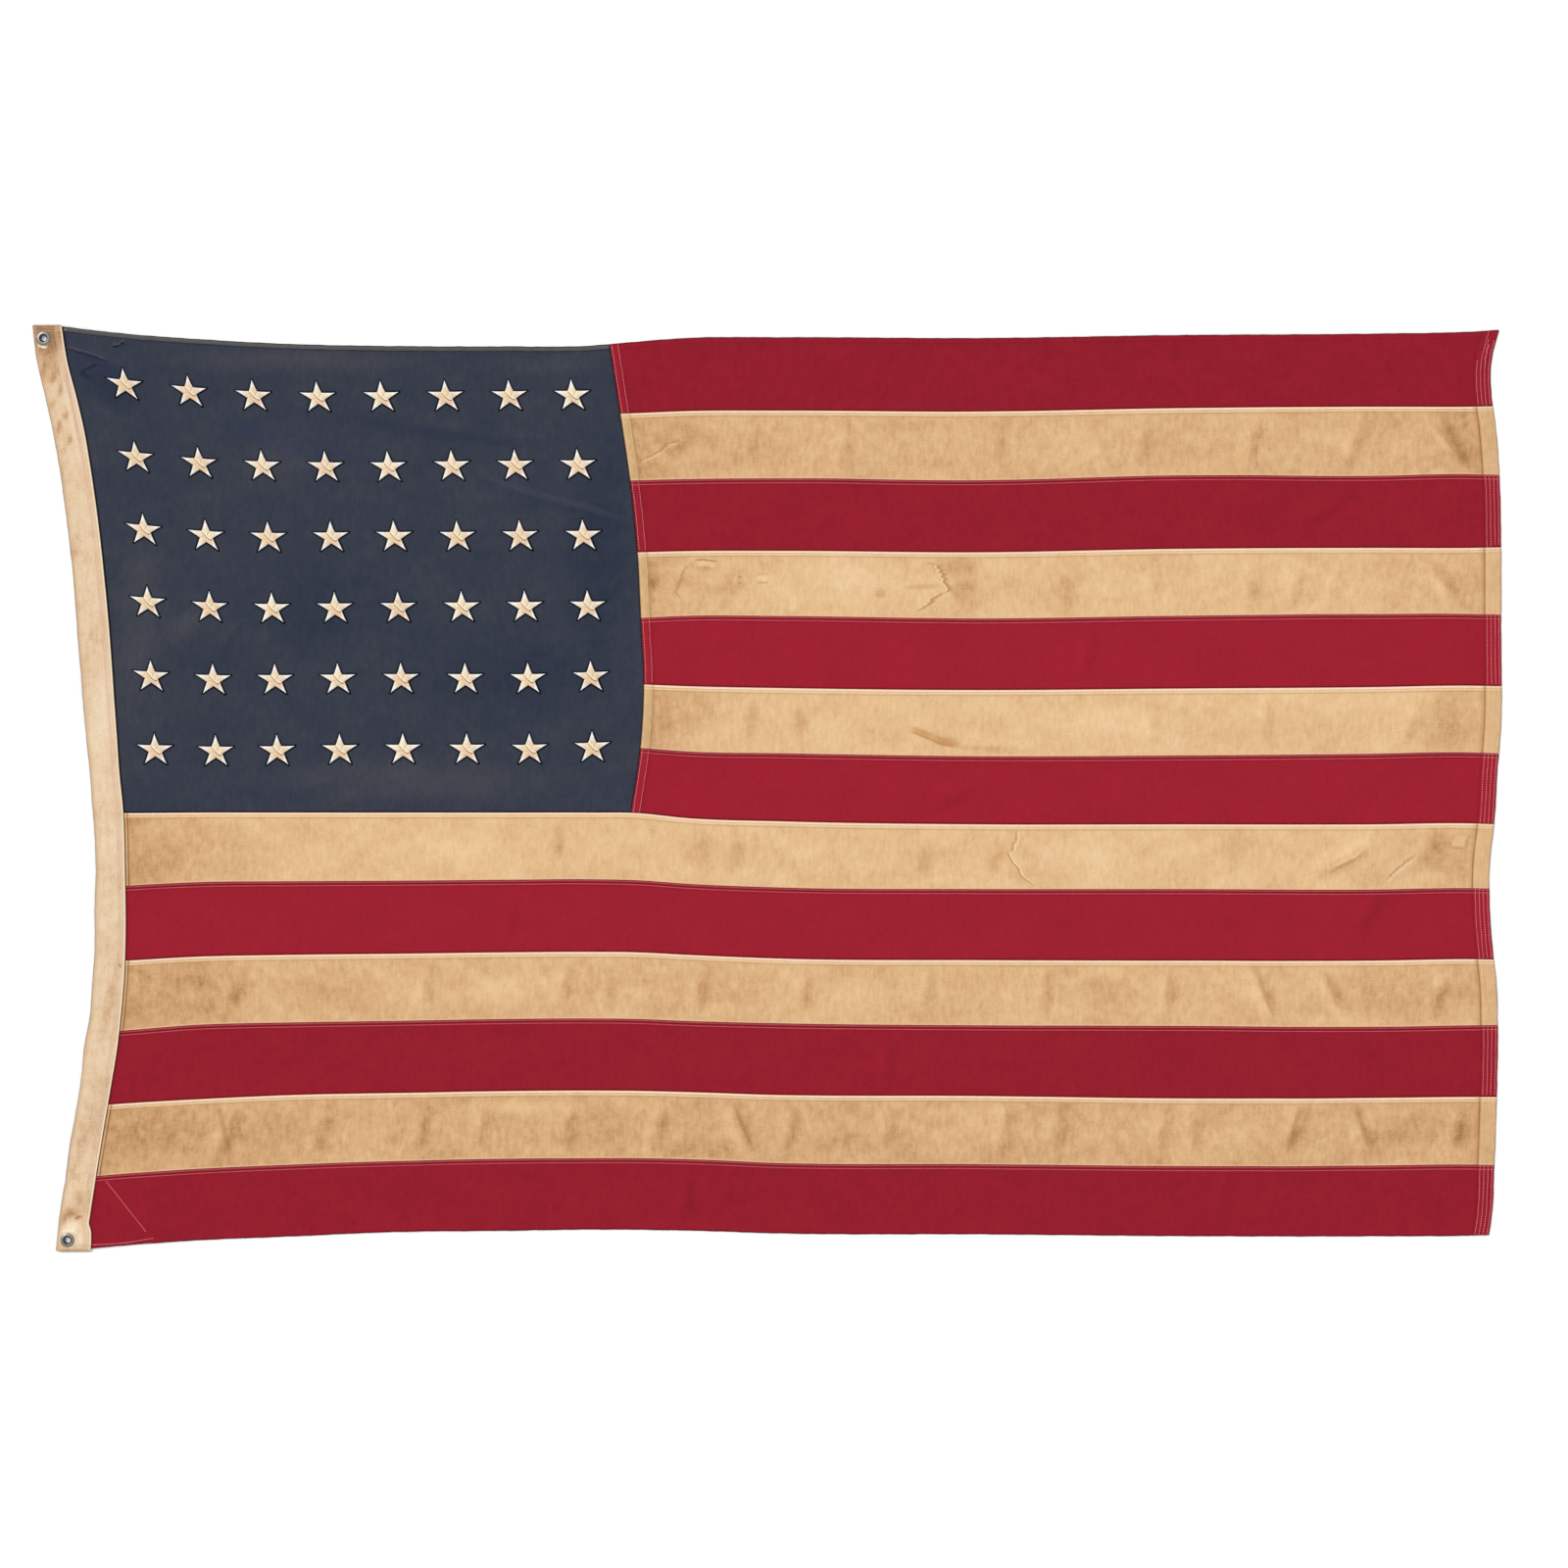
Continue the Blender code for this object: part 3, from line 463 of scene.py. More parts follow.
# %% Marks on the tan stripes, by the stripe's number: does it run up and down, its points, its strokes
TAN_MARKS = {
    2: (
        # painted shade along a crease near the canton, with a painted highlight beside it
        (False, ((652, 470), (663, 466), (674, 460), (682, 453), (697, 448.5)),
         ((0.0, 0.8, 2.2, "#AE8050", 0.60), (4.0, 1.2, 2.4, "#EFCB9A", 0.45))),
        # painted shade along a crease
        (True, ((1282, 452), (1281, 464), (1282.5, 482)), ((0.0, 0.5, 1.2, "#A87E52", 0.50),)),
        # painted shadow of a broad fold, with a painted highlight on its left
        (True, ((1461, 429), (1466, 436), (1478, 451), (1490, 466)),
         ((0.0, 3.0, 8.0, "#BE8F63", 0.40), (-14.0, 3.0, 7.0, "#EBC596", 0.30))),
        # painted shade along a fold
        (True, ((1008, 424), (1016, 445), (1019, 470), (1017, 482)), ((0.0, 2.0, 6.0, "#CC9E6E", 0.35),)),
    ),
    4: (
        (True, ((944, 573), (946, 574.5), (951.3, 576.4), (957, 577.4), (955, 579.6), (960, 581.8), (957.8, 584),
                (962.4, 586), (960, 588.6), (963.8, 591), (962, 594), (965.4, 597.4), (967.5, 600.6), (966.7, 603.9),
                (958.8, 605.6), (954.6, 608.9), (950.1, 611.4), (949.7, 614.3), (943, 618.8), (938, 622.2),
                (932, 625)),
         ((-2.4, 1.0, 1.8, "#FBE2B4", 0.70), (0.6, 0.5, 1.0, "#9C6C3A", 0.55), (2.4, 1.2, 6.0, "#B8864F", 0.65))),
        (False, ((708, 572.6), (711, 571.8), (718.6, 571.3), (725, 572.4), (733, 573)),
         ((0.0, 0.7, 1.1, "#8E6034", 0.75), (6.0, 2.6, 3.4, "#EFD198", 0.60))),
        (True, ((707.5, 572.5), (698, 582), (692.5, 598), (689, 604), (698, 615)),
         ((0.0, 1.2, 3.4, "#B98A55", 0.60),)),
        (False, ((752.6, 589.4), (758, 588.9)), ((0.0, 0.5, 0.9, "#94683C", 0.70), (9.8, 0.4, 0.9, "#94683C", 0.55))),
        (False, ((771, 590), (785, 590)), ((0.0, 1.6, 5.0, "#F2D8AA", 0.45), (7.5, 0.5, 2.4, "#B98A55", 0.45),
                                          (-7.0, 0.5, 2.4, "#B98A55", 0.35))),
        (False, ((918, 600), (940, 599.2), (962, 597.8)), ((0.0, 1.4, 5.0, "#C2925F", 0.40),)),
        (True, ((809.5, 605), (808.5, 626)), ((0.0, 3.6, 3.0, "#F3D4A4", 0.45),)),
    ),
    6: (
        (False, ((926, 743), (934, 745), (945, 749.5), (956, 754.5), (966, 757.5), (978, 759)),
         ((0.0, 3.4, 5.2, "#CC965E", 0.62), (5.6, 0.7, 2.0, "#AE7840", 0.45))),
        (True, ((818, 715), (816, 735), (818, 762)), ((0.0, 1.8, 5.0, "#D2A473", 0.35),)),
    ),
    8: (
        (True, ((1037, 845), (1036.7, 858), (1033.7, 861), (1032.9, 868.3), (1027.9, 869.8), (1029.5, 874),
                (1032.9, 880), (1038.3, 885.5), (1040.5, 891.6), (1042.8, 895.4), (1049, 899.3), (1058, 905.5)),
         ((0.0, 1.1, 1.8, "#B98A58", 0.75), (3.6, 1.0, 2.0, "#F8DDB0", 0.45), (-9.0, 4.0, 6.0, "#D8AC78", 0.35))),
        (True, ((1499, 851.2), (1498.5, 853.2), (1495.6, 859), (1495, 864), (1492, 866.2)),
         ((-12.5, 6.5, 8.0, "#EFCBA2", 0.42), (1.2, 0.7, 3.0, "#A87A4C", 0.42), (-25.5, 0.8, 4.6, "#B88A5C", 0.35))),
        (False, ((1478, 863), (1486, 865.2), (1498, 866.4)), ((0.0, 0.7, 2.6, "#A87A4C", 0.45),)),
        # painted shade along a crease, with a painted highlight above it
        (False, ((1350, 893.6), (1365.5, 884.6), (1382, 877), (1397, 864.5)),
         ((0.0, 1.4, 4.0, "#BF9060", 0.50), (-6.0, 1.6, 3.4, "#F6D8A8", 0.40))),
        # painted shade along a crease, with a painted highlight below it
        (False, ((1409, 903.6), (1421.6, 889.7), (1434.4, 879.5), (1447, 870)),
         ((0.0, 1.0, 3.2, "#A2744A", 0.60), (4.8, 1.6, 3.4, "#F6DAAE", 0.40))),
    ),
    10: (
        # painted shade along creases
        (True, ((1281, 984), (1286, 1004), (1296, 1030), (1303, 1042)), ((0.0, 1.6, 4.6, "#BC8D60", 0.50),)),
        (True, ((1352, 986), (1358, 1006), (1367, 1034)), ((0.0, 1.6, 4.6, "#C2946A", 0.45),)),
        (True, ((231, 982), (238, 1006), (247, 1036)), ((0.0, 2.0, 5.0, "#BC8D60", 0.45),)),
        (True, ((1196, 984), (1191, 1008), (1193, 1038)), ((0.0, 1.4, 4.6, "#C2946A", 0.40),)),
    ),
    12: (
        # painted shade along creases
        (True, ((748, 1120), (754, 1140), (764, 1162), (770, 1178)), ((0.0, 1.6, 4.4, "#A87A50", 0.55),)),
        (True, ((1328, 1124), (1321, 1148), (1312, 1180)), ((0.0, 1.6, 4.6, "#A87A50", 0.50),)),
        (True, ((1383, 1122), (1390, 1148), (1399, 1178)), ((0.0, 1.6, 4.6, "#AE8056", 0.45),)),
        (True, ((223, 1128), (229, 1154), (238, 1184)), ((0.0, 2.0, 5.0, "#A87A50", 0.50),)),
    ),
}


# %% [markdown]
# ## A sheet of cloth
#
# A sheet is a grid of points over its panel, closed all round: one layer for the face, one for the back, and a rim.
# The grid is not even. Near an edge its lines stand where the cloth changes, a millimetre apart, so that a folded edge
# is round and a lapped seam is a crisp step. Away from the edges they are a finger's width apart, enough for the folds.

# %% Lines of points across a panel
def stations(length, near, far, steps):
    """Distances along a line: the near ones from its start, the far ones from its end, and even steps between."""
    length = np.asarray(length, float)
    start, stop = near[-1], length - far[-1]
    between = [start + (stop - start) * k / steps for k in range(1, steps)]
    return np.array([length * 0 + d for d in near] + between + [length - d for d in far[::-1]])


def panel(top, bottom, left, right, near, far, upper, lower, pitch, at=900.0):
    """A panel's points between two seams and two side edges, with each point's distances to all four, in metres."""
    middle = (top(at) + bottom(at)) / 2
    begin = np.array([float(left(middle))])
    end = np.array([float(right(middle))])
    long_steps = round(float((end - begin)[0]) * PIXEL / pitch)
    wide_steps = max(2, round(float(bottom(at) - top(at)) * PIXEL / pitch))
    for _ in range(5):  # each round brings rows and columns closer to the same points
        along = stations((end - begin) * PIXEL, near, far, long_steps).T
        columns = begin[:, None] + along / PIXEL
        width = (bottom(columns) - top(columns)) * PIXEL
        across = stations(width.mean(axis=0), upper, lower, wide_steps)
        rows = top(columns) + (bottom(columns) - top(columns)) * across / width.mean(axis=0)
        begin, end = left(rows[:, 0]), right(rows[:, -1])
    spots = place(columns, rows)
    share = across / width.mean(axis=0)
    width = np.broadcast_to(width, rows.shape)
    along = np.broadcast_to(along, rows.shape)
    span = ((end - begin) * PIXEL)[:, None]
    return {"x": spots[..., 0], "y": spots[..., 1], "top": share * width, "bottom": (1 - share) * width,
            "left": along, "right": span - along}


def store(mesh, name, values):
    """A number, or three, kept at each point of a mesh for its material to read."""
    many = values.ndim > 1
    kept = mesh.attributes.new(name, "FLOAT_VECTOR" if many else "FLOAT", "POINT")
    kept.data.foreach_set("vector" if many else "value", np.ascontiguousarray(values, np.float32).ravel())


def new_piece(name, points, faces, *materials, smooth=True):
    """A piece in the scene, with its mesh and its materials."""
    mesh = bpy.data.meshes.new(name)
    mesh.from_pydata(np.reshape(points, (-1, 3)).tolist(), [], faces)
    if smooth:
        mesh.shade_smooth()
    for material in materials:
        mesh.materials.append(material)
    piece = bpy.data.objects.new(name, mesh)
    bpy.context.scene.collection.objects.link(piece)
    return piece


FAR = 1.0  # stored as the distance from an edge that a sheet doesn't have


def lay_weave(mesh, weave):
    """Stores each point's place along and across its sheet as the map that the weave follows."""
    corner = np.empty(len(mesh.loops), np.int32)
    mesh.loops.foreach_get("vertex_index", corner)
    layer = mesh.uv_layers.get("weave") or mesh.uv_layers.new(name="weave")
    layer.data.foreach_set("uv", weave[corner].astype(np.float32).ravel())


def sheet(name, at, thickness, material):
    """The closed sheet over a panel's points, with the thickness built upward from the cloth's underside."""
    rows, columns = at["x"].shape
    low = cloth_height(at["x"], at["y"])
    layers = [np.stack([at["x"], at["y"], z], axis=-1).reshape(-1, 3) for z in (low + thickness, low)]
    index = np.arange(rows * columns).reshape(rows, columns)
    face = np.stack([index[:-1, :-1], index[1:, :-1], index[1:, 1:], index[:-1, 1:]], axis=-1).reshape(-1, 4)
    under = rows * columns
    rims = [index[0], index[::-1, 0], index[-1, ::-1], index[:, -1]]
    walls = [np.stack([line[:-1], line[1:], line[1:] + under, line[:-1] + under], axis=-1) for line in rims]
    faces = np.concatenate([face, face[:, ::-1] + under, *walls])
    piece = new_piece(name, np.concatenate(layers), faces.tolist(), material)

    def both(*values):
        return np.tile(np.stack([np.broadcast_to(value, at["x"].shape).ravel() for value in values], axis=-1), (2, 1))

    # the soil and each stripe's tone, with the creases' painted shade and painted highlight
    stains_and_painted_light = soil_and_painted_light(at["x"], at["y"]) + at.get("tone", 0)
    store(piece.data, "edges", both(at["top"], at["bottom"], at["right"]))
    store(piece.data, "ends", both(at.get("hoist", FAR), at.get("lap", FAR), stains_and_painted_light))
    lay_weave(piece.data, both(at["left"], at["top"]))
    return piece


# %% [markdown]
# ## One function for shader nodes
#
# Every material below is built from nodes. A colour is written as it would be in a paint program, as an sRGB hex
# value, and one function turns it into the linear numbers that a renderer works with. The values are those that the
# picture shows, under light a little stronger than white needs, so the function also divides by that light.

# %% Nodes and colours
STUDIO_LIGHT = 1.12


def linear(code, light=STUDIO_LIGHT, strength=1.0):
    """The linear colour of an sRGB hex value as it looks under the light, with a strength as its fourth number."""
    value = np.array([int(code[i:i + 2], 16) for i in (1, 3, 5)]) / 255
    value = np.where(value <= 0.04045, value / 12.92, ((value + 0.055) / 1.055) ** 2.4) / light
    return (*value.tolist(), strength)


def add(tree, kind, settings=None, inputs=None):
    """A shader node's outputs, once it has its settings and its inputs, which are values or other nodes' outputs."""
    made = tree.nodes.new("ShaderNode" + kind)
    for name, value in (settings or {}).items():
        setattr(made, name, value)
    for name, value in (inputs or {}).items():
        if isinstance(value, bpy.types.NodeSocket):
            tree.links.new(value, made.inputs[name])
        else:
            made.inputs[name].default_value = value
    return made.outputs


def new_material(name):
    """A material, its tree and its shader."""
    material = bpy.data.materials.new(name)
    material.use_nodes = True
    return material, material.node_tree, material.node_tree.nodes["Principled BSDF"]


def stored(tree, name, output="Vector"):
    """What a mesh has stored at its points under a name."""
    return add(tree, "Attribute", {"attribute_name": name})[output]


def split(tree, vector):
    """The three parts of a vector."""
    return add(tree, "SeparateXYZ", {}, {0: vector})


def mixed(tree, share, first, second, blend="MIX"):
    """Two colours mixed by a share."""
    return add(tree, "Mix", {"data_type": "RGBA", "blend_type": blend}, {0: share, 6: first, 7: second})[2]


def summed(tree, terms):
    """Outputs added up, each times its weight."""
    total = 0.0
    for value, weight in terms:
        total = add(tree, "Math", {"operation": "MULTIPLY_ADD"}, {0: value, 1: weight, 2: total})[0]
    return total


def times(tree, first, second):
    """Two outputs multiplied."""
    return add(tree, "Math", {"operation": "MULTIPLY"}, {0: first, 1: second})[0]


def dimmed(tree, colour, light):
    """A colour times the light on it."""
    return mixed(tree, 1.0, colour, add(tree, "CombineColor", {}, {0: light, 1: light, 2: light})[0], "MULTIPLY")


def eased(tree, value, start, stop, low, high):
    """From low, where the value is at start, softly to high, where it is at stop."""
    return add(tree, "MapRange", {"interpolation_type": "SMOOTHSTEP"},
               {0: value, 1: start, 2: stop, 3: low, 4: high})[0]


def raised(tree, shader, terms):
    """Gives the shader a small relief: heights in millimetres, each with its weight."""
    relief = add(tree, "Bump", {}, {"Strength": 1.0, "Distance": MM, "Height": summed(tree, terms)})[0]
    tree.links.new(relief, shader.inputs["Normal"])


def band(tree, distance, middle, half, soft, strength=1.0):
    """The strength within half of the middle, 0 from soft beyond that."""
    away = add(tree, "Math", {"operation": "SUBTRACT"}, {0: distance, 1: middle})[0]
    away = add(tree, "Math", {"operation": "ABSOLUTE"}, {0: away})[0]
    return eased(tree, away, half, half + soft, strength, 0.0)


def grain(tree, at, along, across, detail=2.0, roughness=0.5):
    """Noise with grains of a length along the cloth and a width across it, in metres, from -1 to 1."""
    scaled = add(tree, "VectorMath", {"operation": "MULTIPLY"}, {0: at, 1: (1 / along, 1 / across, 1.0)})[0]
    noise = add(tree, "TexNoise", {}, {"Vector": scaled, "Scale": 1.0, "Detail": detail, "Roughness": roughness})[0]
    return add(tree, "MapRange", {"clamp": False}, {0: noise, 1: 0.25, 2: 0.75, 3: -1.0, 4: 1.0})[0]


# %% [markdown]
# Two more helpers put a drawing on the cloth. The first gives what shows from an edge inward, as a ramp of colours
# over the distance: a seam is a raised fold, a groove, a row of thread and the step behind it. The second draws a mark
# through its places in the picture, with a curve that gives the line's place across for each place along it.

# %% Edges and marks
def edging(tree, colour, distance, stops, uneven):
    """The colour with what shows near an edge over it: stops of distance in mm, colour and strength."""
    reach = stops[-1][0] * MM
    share = add(tree, "Math", {"operation": "DIVIDE", "use_clamp": True}, {0: distance, 1: reach})[0]
    ramp = add(tree, "ValToRGB", {}, {0: share})
    elements = ramp[0].node.color_ramp.elements
    elements[0].color, elements[1].color = (linear(stops[k][1], strength=stops[k][2]) for k in (0, -1))
    for far, tint, strength in stops[1:-1]:
        elements.new(far * MM / reach).color = linear(tint, strength=strength)
    return mixed(tree, times(tree, ramp[1], uneven), colour, ramp[0])


def marked(tree, colour, across, down, upright, spots, strokes, unit=MM, fade=0.3):
    """The colour with the strokes of one mark over it, drawn through spots that are distances right and down."""
    along, aside = (spots[:, 1], spots[:, 0]) if upright else (spots[:, 0], spots[:, 1])
    here, beside = (down, across) if upright else (across, down)
    low, high = aside.min(), max(aside.max(), aside.min() + unit)
    share = add(tree, "MapRange", {}, {0: here, 1: float(along[0]), 2: float(along[-1])})[0]
    bend = add(tree, "FloatCurve", {}, {1: share})
    curve = bend[0].node.mapping.curves[0]
    ends = (along - along[0]) / (along[-1] - along[0]), (aside - low) / (high - low)
    for k, point in enumerate(zip(*ends)):
        if k in (0, len(spots) - 1):
            curve.points[0 if k == 0 else len(curve.points) - 1].location = point
        else:
            curve.points.new(*point)
    for point in curve.points:
        point.handle_type = "VECTOR"
    bend[0].node.mapping.update()
    line = add(tree, "Math", {"operation": "MULTIPLY_ADD"}, {0: bend[0], 1: float(high - low), 2: float(low)})[0]
    distance = add(tree, "Math", {"operation": "SUBTRACT"}, {0: beside, 1: line})[0]
    window = band(tree, share, 0.5, 0.5 - fade, fade)
    for offset, half, soft, tint, strength in strokes:
        stroke = band(tree, distance, offset * unit, half * unit, soft * unit, strength)
        colour = mixed(tree, times(tree, stroke, window), colour, linear(tint))
    return colour


# %% [markdown]
# ## Woven cotton
#
# The cloth is plain-woven cotton, of yarn spun a little unevenly. What the eye gets from that is a matt surface with
# short, faint streaks along both directions of the weave, where a yarn is thicker. The yarns are 0.4 mm apart, too
# fine to show at this distance, so the weave in the bump is drawn at 1.6 mm, and the streaks are as long and as wide
# as those that the picture shows. Old cotton is also blotchy: soil, fading and yellowing lie in patches of every size.
#
# A function makes the cloth once for all colours, because they share the weave and differ only in dye, soil and what
# shows along their edges. Cotton's own values: no metal, a refractive index of 1.5, a rough surface and the faint
# bloom of its loose fibres, which is the sheen. The clear reflection is turned well down, because the picture shows no
# gloss on the cloth.

# %% The material of a woven cotton
WEAVE = 1.6 * MM


def cotton(name, colours, blotch, fleck, edges, marks=(), thread=1.0, ring=None):
    """Dyed or bare cotton: its colours from pale to soiled, the strength of its patches and streaks, its edges."""
    material, tree, shader = new_material(name)
    at = add(tree, "UVMap", {"uv_map": "weave"})[0]
    spot = add(tree, "TexCoord")["Object"]
    sides, ends = (split(tree, stored(tree, name)) for name in ("edges", "ends"))
    from_edge = {"top": sides[0], "bottom": sides[1], "fly": sides[2], "hoist": ends[0], "lap": ends[1]}

    broad = grain(tree, spot, 90 * MM, 60 * MM, 2.0, 0.6)
    patches = grain(tree, spot, 20 * MM, 24 * MM, 3.0, 0.6)
    weft = grain(tree, at, 16 * MM, 2.0 * MM, 1.0)
    warp = grain(tree, at, 2.0 * MM, 13 * MM, 1.0)
    speck = grain(tree, at, 3.0 * MM, 2.6 * MM, 1.0)

    soak = summed(tree, [(patches, 0.22), (1.0, 1.0)])
    rubbed = grain(tree, spot, 7 * MM, 20 * MM, 2.0, 0.55)
    # the third number of ends is the soil, with the creases' painted shade and painted highlight
    depth = summed(tree, [(times(tree, ends[2], soak), 0.5), (broad, blotch * 0.10), (patches, blotch * 0.08),
                          (rubbed, blotch * 0.09), (speck, fleck * 0.34), (weft, fleck * 0.24),
                          (warp, fleck * 0.24), (0.5, 1.0)])
    colour = add(tree, "ValToRGB", {}, {0: depth})
    ramp = colour[0].node.color_ramp
    ramp.elements[0].color, ramp.elements[1].color = linear(colours[0]), linear(colours[-1])
    for stop, tint in zip((0.5, 0.74), colours[1:-1]):
        ramp.elements.new(stop).color = linear(tint)
    streaks = summed(tree, [(weft, fleck * 0.16), (warp, fleck * 0.16), (speck, fleck * 0.42), (1.0, 1.0)])
    colour = dimmed(tree, colour[0], streaks)

    if marks:
        parts = split(tree, spot)
        ragged = grain(tree, spot, 4.5 * MM, 4.5 * MM, 2.0, 0.6)
        across = summed(tree, [(ragged, 1.5 * MM), (parts[0], 1.0)])
        down = summed(tree, [(ragged, 1.5 * MM), (parts[1], -1.0)])
        for upright, points, strokes in marks:
            spots = place(*np.array(points, float).T) * (1, -1)
            fade = min(0.3, 1.2 / len(points))
            colour = marked(tree, colour, across, down, upright, spots, strokes, fade=fade)
    uneven = summed(tree, [(grain(tree, at, 14 * MM, 300 * MM, 2.0), 0.24), (1.0, 1.0)])
    for edge, stops in edges.items():
        colour = edging(tree, colour, from_edge[edge], stops, uneven)
    # painted shade round the stars, in the ring colour
    if ring:
        colour = mixed(tree, star_shade(tree), colour, linear(ring))
    tree.links.new(colour, shader.inputs["Base Color"])

    yarns = []
    line = split(tree, at)
    for axis in (0, 1):
        turn = summed(tree, [(line[axis], 2 * np.pi / WEAVE), (axis * np.pi / 2, 1.0)])
        yarns.append(add(tree, "Math", {"operation": "SINE"}, {0: turn})[0])
    rumple = grain(tree, spot, 12 * MM, 14 * MM, 2.0, 0.6)
    raised(tree, shader, [(times(tree, *yarns), 0.05 * thread), (speck, 0.12 * thread), (rumple, 0.32)])
    tree.links.new(summed(tree, [(speck, 0.03), (0.9, 1.0)]), shader.inputs["Roughness"])
    shader.inputs["IOR"].default_value = 1.5
    shader.inputs["Specular IOR Level"].default_value = 0.08
    shader.inputs["Sheen Weight"].default_value = 0.02
    shader.inputs["Sheen Roughness"].default_value = 0.5
    return material


# %% [markdown]
# The canton needs one thing more. Dense embroidery draws the ground cloth down round each star, and the groove is in
# deep shade, which is painted into the cloth's colour. It is narrower than the sheet's grid, so the sheet stores each
# point's place in the nearest star, in star radii. The shader folds that place into one tenth of a star and measures
# the distance to the star's edge.

# %% Shade round a star
TENTH_TURN = np.radians(36)  # from a star's tip to its inner corner
STAR_GROOVE = (0.05, 0.145)  # from where to where the shade fades, in star radii
GROOVE_SHADE = 0.97
STAR_REACH = 1.14  # no shade past this many radii


def star_shade(tree):
    """The painted shade round a star: strongest in the groove and toward its lower right, 0 away from it."""
    local = stored(tree, "from_star")
    parts = split(tree, local)
    flat = add(tree, "VectorMath", {"operation": "MULTIPLY"}, {0: local, 1: (1.0, 1.0, 0.0)})[0]
    radius = add(tree, "VectorMath", {"operation": "LENGTH"}, {0: flat})["Value"]
    angle = add(tree, "Math", {"operation": "ARCTAN2"}, {0: parts[0], 1: parts[1]})[0]
    turned = add(tree, "Math", {"operation": "PINGPONG"}, {0: angle, 1: TENTH_TURN})[0]
    up = times(tree, radius, add(tree, "Math", {"operation": "COSINE"}, {0: turned})[0])
    side = times(tree, radius, add(tree, "Math", {"operation": "SINE"}, {0: turned})[0])
    edge = np.array([STAR_WAIST * np.cos(TENTH_TURN) - 1, STAR_WAIST * np.sin(TENTH_TURN)])
    normal = np.array([edge[1], -edge[0]]) / np.linalg.norm(edge)
    away = summed(tree, [(up, float(normal[0])), (side, float(normal[1])), (-float(normal[0]), 1.0)])
    near = eased(tree, away, *STAR_GROOVE, GROOVE_SHADE, 0.0)
    shaded = summed(tree, [(parts[0], 0.20), (parts[1], -0.20), (0.88, 1.0)])
    inside = add(tree, "Math", {"operation": "LESS_THAN"}, {0: parts[2], 1: STAR_REACH})[0]
    return times(tree, times(tree, near, shaded), inside)


# %% [markdown]
# Three cloths come out of that function. The blue is a vat-dyed cotton, greyed by light. The red has kept its dye
# well. The bare cotton was once white, and has aged to the tan of old paper. The edges give what shows there, with the
# light and shade painted into the colour: a fold catches light where it is raised, grooves and steps lie in shade, the
# cloth beside the heading is in its shadow, and the edge that goes under the next piece is in shade.

# %% What shows from each edge inward, painted highlights and painted shade among it: distance in mm, colour, strength
TAN_EDGES = {
    "top": ((0.0, "#8C3C34", 0.85), (0.5, "#E89C84", 0.80), (0.9, "#FFE0CC", 0.97), (3.0, "#FFE9D2", 0.97),
            (3.8, "#EAC69C", 0.70), (4.6, "#D8AA80", 0.50), (5.5, "#F0CCA2", 0.45), (6.3, "#FBDCB4", 0.62),
            (7.8, "#F6D4AA", 0.52), (9.0, "#BE9066", 0.45), (10.4, "#C4966C", 0.20), (13.0, "#CB9E6A", 0.0)),
    "bottom": ((0.0, "#92302E", 0.85), (0.3, "#CC8068", 0.80), (0.7, "#F8BEA2", 0.92), (1.9, "#F4C29C", 0.75),
               (3.2, "#F0C48E", 0.0)),
    "fly": ((0.0, "#7A5A42", 0.75), (0.9, "#B08A66", 0.50), (2.4, "#E8C294", 0.45), (3.8, "#B58558", 0.60),
            (5.2, "#E8C294", 0.40), (9.0, "#E8C294", 0.40), (10.5, "#B58558", 0.62), (12.0, "#E8C294", 0.40),
            (15.8, "#E8C294", 0.40), (17.3, "#B98A5E", 0.60), (18.8, "#E8C294", 0.40), (24.0, "#E4BE92", 0.40),
            (27.2, "#C69A6C", 0.50), (27.9, "#936438", 0.85), (29.0, "#936438", 0.80), (30.6, "#BC8C5A", 0.50),
            (37.0, "#CB9E6E", 0.0)),
    "hoist": ((0.0, "#3E2618", 0.92), (1.2, "#6A462C", 0.85), (2.1, "#E0B88C", 0.55), (3.9, "#DDB284", 0.45),
              (4.9, "#84562F", 0.80), (6.3, "#84562F", 0.80), (7.4, "#B98A5C", 0.45), (10.0, "#C99C70", 0.0)),
    "lap": ((0.0, "#5E4028", 0.85), (0.8, "#8E6A44", 0.60), (1.8, "#E8C794", 0.55), (9.0, "#DFC08A", 0.50),
            (13.6, "#D8B680", 0.45), (14.8, "#A67A48", 0.65), (16.4, "#B98C5A", 0.40), (20.0, "#C99C6C", 0.0)),
}
RED_EDGES = {
    "top": ((0.0, "#6A0E18", 0.92), (1.0, "#7E1A22", 0.88), (1.8, "#A84E46", 0.78), (2.8, "#A0403C", 0.72),
            (3.7, "#740C1A", 0.82), (5.6, "#780E1C", 0.82), (6.6, "#CC5260", 0.70), (7.6, "#C44858", 0.60),
            (8.5, "#86101E", 0.55), (10.0, "#901828", 0.20), (12.0, "#901828", 0.0)),
    "bottom": ((0.0, "#5A0810", 0.90), (2.0, "#7A0C18", 0.75), (3.6, "#8E1626", 0.0)),
    "fly": ((0.0, "#4E0A12", 0.80), (1.0, "#7A1420", 0.60), (2.4, "#A02434", 0.15), (25.5, "#A02434", 0.15),
            (28.2, "#7C0F1E", 0.60), (30.4, "#8A1424", 0.35), (33.0, "#921C2C", 0.0)),
    "hoist": ((0.0, "#3E060C", 0.90), (1.6, "#6A0A16", 0.75), (4.0, "#86101E", 0.30), (7.0, "#901828", 0.0)),
    "lap": ((0.0, "#4A080E", 0.85), (1.2, "#84101E", 0.50), (3.0, "#A82A3A", 0.35), (13.0, "#A42636", 0.30),
            (15.0, "#780E1C", 0.60), (18.0, "#901828", 0.0)),
}
